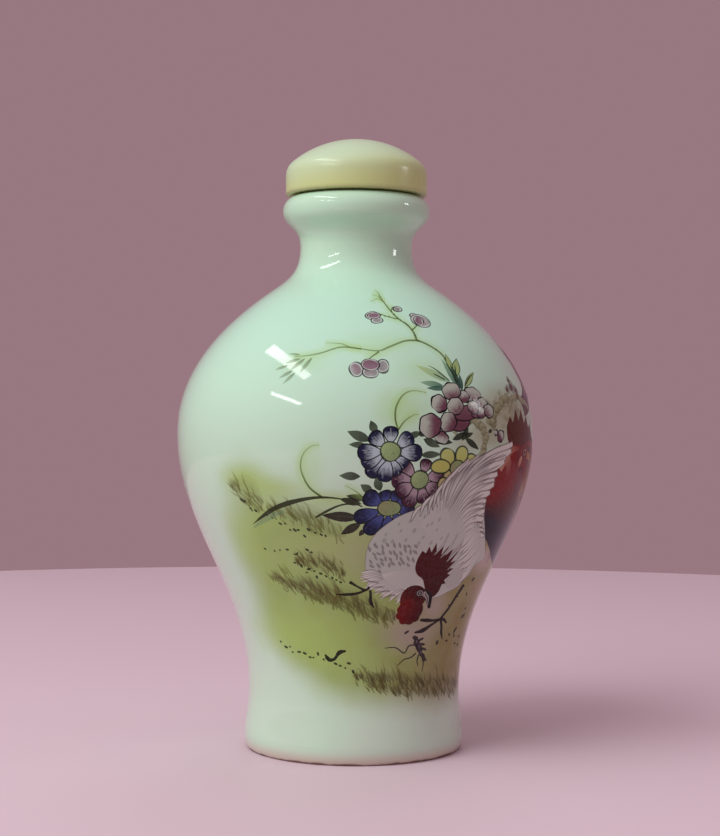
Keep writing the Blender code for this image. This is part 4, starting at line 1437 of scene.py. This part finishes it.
# The edge that the bottle stands on is bare biscuit, up to a slightly wavy line. Its brown is partly
# painted shade: it stands also for the contact shadow where the foot meets the table.
BISCUIT_AND_CONTACT_SHADE = enamel(0.50, 0.41, 0.37)
BARE_HEIGHT = 0.00012
BARE_WAVES = 0.0002
BARE_SOFTNESS = 0.0001
wavy_edge = group(tree, mottling, Patch=0.002, Low=0.3, High=0.7)
edge_height = maths(tree, "MULTIPLY_ADD", wavy_edge, BARE_WAVES, BARE_HEIGHT)
above_edge = maths(tree, "SUBTRACT", height, edge_height)
unglazed = ramp(tree, above_edge, BARE_SOFTNESS, -BARE_SOFTNESS)
surface_colour = blend(tree, unglazed, surface_colour, BISCUIT_AND_CONTACT_SHADE)
tree.links.new(surface_colour, shader.inputs["Base Color"])

# Bare glaze is glossy all through, the enamels are a little duller, and the biscuit is matt.
GLAZE_ROUGHNESS = 0.06
ENAMEL_ROUGHNESS = 0.115
BISCUIT_ROUGHNESS = 0.65
GLAZE_COAT = 0.64
ENAMEL_SHINE = 0.18
roughness = ramp(tree, coverage, low=GLAZE_ROUGHNESS, high=ENAMEL_ROUGHNESS)
roughness = node(
    tree, "ShaderNodeMix", {"Factor": unglazed, "A": roughness, "B": BISCUIT_ROUGHNESS},
).outputs[0]
tree.links.new(roughness, shader.inputs["Roughness"])
coat = ramp(tree, coverage, low=GLAZE_COAT, high=0.0)
coat = node(tree, "ShaderNodeMix", {"Factor": unglazed, "A": coat, "B": 0.0}).outputs[0]
tree.links.new(coat, shader.inputs["Coat Weight"])
shader.inputs["Coat Roughness"].default_value = GLAZE_ROUGHNESS
shader.inputs["Specular IOR Level"].default_value = ENAMEL_SHINE

# The glaze flowed in long shallow waves, and the enamels have a fine grain.
ENAMEL_GRAINS = 3000.0
ENAMEL_GRAIN_DEPTH = 0.000014
flowed = group(tree, uneven, Width=0.006, Depth=0.000005)
grains = node(
    tree, "ShaderNodeTexNoise", {"Vector": place, "Scale": ENAMEL_GRAINS, "Detail": 1.0},
).outputs[0]
relief = maths(tree, "MULTIPLY", coverage, grains)
relief = node(tree, "ShaderNodeBump", {
    "Distance": ENAMEL_GRAIN_DEPTH, "Height": relief, "Normal": flowed,
}).outputs[0]
tree.links.new(relief, shader.inputs["Normal"])
bottle.data.materials.append(glaze)
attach(bottle, "root")
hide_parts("bottle")


# The stopper
# One moulded cap of cream plastic with a short plug below it, made to look like ivory and polished. It is
# not fixed: the plug hangs in the mouth and the cap rests on the lip.
STOPPER_GAP = 0.30
CAP_GAP = 0.11
CAP_RADIUS = 8.75
CAP_UNDERSIDE_HEIGHT = LIP_TOP_HEIGHT + CAP_GAP
CAP_LOWER_ROUNDING = 0.32
CAP_SIDE_TOP_HEIGHT = 70.30
CAP_EDGE_INSET = 0.50
CAP_EDGE_HEIGHT = 71.80
CAP_EDGE_PULLS = (1.1, 0.8)
CAP_EDGE_TURN = 4
CAP_APEX_HEIGHT = 74.90
PLUG_LENGTH = 7.00
PLUG_TOP_RADIUS = BORE_RADIUS - STOPPER_GAP
PLUG_FLARE = (0.1, 0.3)
PLUG_TIP_RADIUS = 3.80
PLUG_TIP_ROUNDING = 0.50

# The yellower cream is partly painted light on the lower right, and the dark lower-edge colour is painted
# shade.
IVORY = enamel(0.77, 0.875, 0.74)
IVORY_YELLOWED_AND_SIDE_LIT = enamel(0.775, 0.83, 0.56)
IVORY_UNDER_SHADE = enamel(0.50, 0.46, 0.33)
IVORY_ROUGHNESS = 0.24
YELLOWING_AND_LIGHT_HEIGHTS = (0.0730, 0.0678)
UNDER_SHADE_HEIGHTS = (0.0685, 0.0680)
UNDER_SHADE_STRENGTH = 0.3


def stopper_side():
    """From the middle of the plug's tip out and up its side, then round the cap to the top of the dome."""
    edge_radius = CAP_RADIUS - CAP_EDGE_INSET
    dome_rise = CAP_APEX_HEIGHT - CAP_EDGE_HEIGHT
    dome_radius = (edge_radius**2 + dome_rise**2) / (2 * dome_rise)
    dome_centre = (0.0, CAP_APEX_HEIGHT - dome_radius)
    dome_lean = math.degrees(math.acos(edge_radius / dome_radius)) + CAP_EDGE_TURN
    plug_tip_height = LIP_TOP_HEIGHT + STOPPER_GAP - PLUG_LENGTH
    tip_centre = (PLUG_TIP_RADIUS - PLUG_TIP_ROUNDING, plug_tip_height + PLUG_TIP_ROUNDING)
    lower_centre = (CAP_RADIUS - CAP_LOWER_ROUNDING, CAP_UNDERSIDE_HEIGHT + CAP_LOWER_ROUNDING)
    tip = quarter(tip_centre, (PLUG_TIP_ROUNDING, PLUG_TIP_ROUNDING), -90, 0, 6)
    root = [
        (PLUG_TOP_RADIUS, CAP_UNDERSIDE_HEIGHT - PLUG_FLARE[1]),
        (PLUG_TOP_RADIUS + PLUG_FLARE[0], CAP_UNDERSIDE_HEIGHT),
    ]
    lower_edge = quarter(lower_centre, (CAP_LOWER_ROUNDING, CAP_LOWER_ROUNDING), -90, 0, 8)
    dome = quarter(dome_centre, (dome_radius, dome_radius), dome_lean, 90, 24)
    upper_start = (CAP_RADIUS, CAP_SIDE_TOP_HEIGHT)
    upper_edge = curve(upper_start, dome.pop(0), CAP_EDGE_PULLS, 14, end_lean=math.radians(dome_lean))
    dome[-1] = (0.0, CAP_APEX_HEIGHT)
    return [(0.0, plug_tip_height), *tip, *root, *lower_edge, *upper_edge, *dome]


def turned_piece(name, profile):
    """A whole piece from one turned profile."""
    vertices, normals, triangles, corners = turned(profile)
    corners[:, :, 0] = 0.5 + (0.5 - MAP_MARGIN) * corners[:, :, 0] / math.pi
    corners[:, :, 1] = MAP_MARGIN + (1 - 2 * MAP_MARGIN) * corners[:, :, 1] / corners[:, :, 1].max()
    vertices, normals, triangles, kept = welded([(vertices, normals, triangles)])
    return built(name, vertices, normals, triangles, corners[kept])


stopper = turned_piece("ivory_stopper", stopper_side())

# The cream is yellower towards the lower right, in uneven patches. This is partly its own yellowing and
# partly painted light: the paler dome stands for light from above, the yellower lower right for the warm
# light on that side. Its lower edge and underside are darker, a painted shade where the cap overhangs the
# lip.
YELLOW_UNEVENNESS = -0.0014
YELLOWING_AND_LIGHT_SLOPE = -0.20
ivory, tree, shader = finish("cream_plastic")
place = node(tree, "ShaderNodeTexCoord").outputs["Object"]
across, _, height = node(tree, "ShaderNodeSeparateXYZ", {0: place}).outputs
patchy = group(tree, mottling, Patch=0.009, Low=0.25, High=0.85)
uneven_height = maths(tree, "MULTIPLY_ADD", patchy, YELLOW_UNEVENNESS, height)
uneven_height = maths(tree, "MULTIPLY_ADD", across, YELLOWING_AND_LIGHT_SLOPE, uneven_height)
yellowed_and_lit = ramp(tree, uneven_height, *YELLOWING_AND_LIGHT_HEIGHTS, kind="SMOOTHSTEP")
cap_colour = blend(tree, yellowed_and_lit, IVORY, IVORY_YELLOWED_AND_SIDE_LIT)
painted_under_shade = ramp(tree, height, *UNDER_SHADE_HEIGHTS, high=UNDER_SHADE_STRENGTH)
cap_colour = blend(tree, painted_under_shade, cap_colour, IVORY_UNDER_SHADE)
tree.links.new(cap_colour, shader.inputs["Base Color"])
shader.inputs["Roughness"].default_value = IVORY_ROUGHNESS
tree.links.new(group(tree, uneven, Width=0.003, Depth=0.000012), shader.inputs["Normal"])
stopper.data.materials.append(ivory)
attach(stopper, "root")
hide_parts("stopper")


# The floor, light and camera
# A round table top in a pale room. A broad soft light shapes the bottle from the upper left and two long
# tubes beside it leave the thin bright lines on the glaze. The camera looks straight on at belly height.
TABLE_RADIUS = 246.0
TABLE_THICKNESS = 18.0
TABLE_ROUNDING = 3.0
TABLE_COLOUR = enamel(0.85, 0.78, 0.82)
TABLE_ROUGHNESS = 0.55
TABLE_SHINE = 0.25

table = turned_piece(
    "table_top",
    [(TABLE_RADIUS - TABLE_ROUNDING, -TABLE_THICKNESS), (TABLE_RADIUS, -TABLE_ROUNDING),
     (TABLE_RADIUS - 0.3 * TABLE_ROUNDING, -0.3 * TABLE_ROUNDING), (TABLE_RADIUS - TABLE_ROUNDING, 0.0),
     (0.0, 0.0)],
)
laminate, _, shader = finish("pale_laminate")
shader.inputs["Base Color"].default_value = TABLE_COLOUR
shader.inputs["Roughness"].default_value = TABLE_ROUGHNESS
shader.inputs["Specular IOR Level"].default_value = TABLE_SHINE
table.data.materials.append(laminate)

LAMPS_AIM = 40.0


def beam(degrees, elevation, distance):
    """A point some millimetres away from the belly: degrees as round the bottle, elevation above level."""
    turn, rise = math.radians(degrees), math.radians(elevation)
    level = distance * math.cos(rise)
    height = LAMPS_AIM + distance * math.sin(rise)
    return Vector((level * math.sin(turn), -level * math.cos(turn), height)) / METRE


def lamp(name, centre, direction, width, length, watts, colour=(1, 1, 1), glossy=True):
    """A soft rectangular light that faces the bottle, with its long side along a direction."""
    data = bpy.data.lights.new(name, "AREA")
    data.shape = "RECTANGLE"
    data.size, data.size_y = width / METRE, length / METRE
    data.energy = watts
    data.color = colour
    back = (centre - Vector((0, 0, LAMPS_AIM / METRE))).normalized()
    long_side = (direction - back * direction.dot(back)).normalized()
    made = bpy.data.objects.new(name, data)
    turning = Matrix((long_side.cross(back), long_side, back)).transposed()
    made.matrix_world = Matrix.Translation(centre) @ turning.to_4x4()
    made.visible_glossy = glossy
    bpy.context.scene.collection.objects.link(made)


lamp("key", beam(-48, 42, 620), Vector((0, 0, 1)), 420, 420, 2.30, (1.0, 1.0, 0.98), glossy=False)
lamp("top", beam(0, 86, 700), Vector((1, 0, 0)), 500, 500, 0.4, glossy=False)
for name, left, right, thickness, watts in (
    ("tube", beam(-98, 52, 600), beam(-38.5, 45.5, 600), 52, 0.55),
    ("thin_tube", beam(-60, 30, 700), beam(-36, 24, 700), 24, 0.30),
):
    lamp(name, (left + right) / 2, right - left, thickness, (right - left).length * METRE, watts)
lamp("right_window", beam(86, 18, 700), Vector((0, 0, 1)), 80, 110, 0.32)
lamp("back_fill", beam(165, 40, 800), Vector((1, 0, 0)), 500, 400, 0.8, glossy=False)

ROOM_COLOUR = enamel(0.80, 0.635, 0.68)
ROOM_LIGHT = 0.52
world = bpy.data.worlds.new("room")
bpy.context.scene.world = world
world.use_nodes = True
world.node_tree.nodes["Background"].inputs["Color"].default_value = ROOM_COLOUR
world.node_tree.nodes["Background"].inputs["Strength"].default_value = ROOM_LIGHT

CAMERA_PLACE = Vector((0.0, -207.0, 40.82)) / METRE
CAMERA_YAW = math.radians(-0.164)
CAMERA_PITCH = math.radians(-0.097)
CAMERA_ROLL = math.radians(0.324)
CAMERA_LENS = 71.86
CAMERA_SENSOR = 36.0
CAMERA_NEAREST = 0.01
camera = bpy.data.objects.new("camera", bpy.data.cameras.new("camera"))
camera.data.lens = CAMERA_LENS
camera.data.sensor_width = CAMERA_SENSOR
camera.data.clip_start = CAMERA_NEAREST
facing = Matrix.Rotation(CAMERA_YAW, 4, "Z") @ Matrix.Rotation(math.radians(90) + CAMERA_PITCH, 4, "X")
camera.matrix_world = Matrix.Translation(CAMERA_PLACE) @ facing @ Matrix.Rotation(CAMERA_ROLL, 4, "Z")
bpy.context.scene.collection.objects.link(camera)
bpy.context.scene.camera = camera
bpy.context.scene.view_settings.view_transform = "Standard"
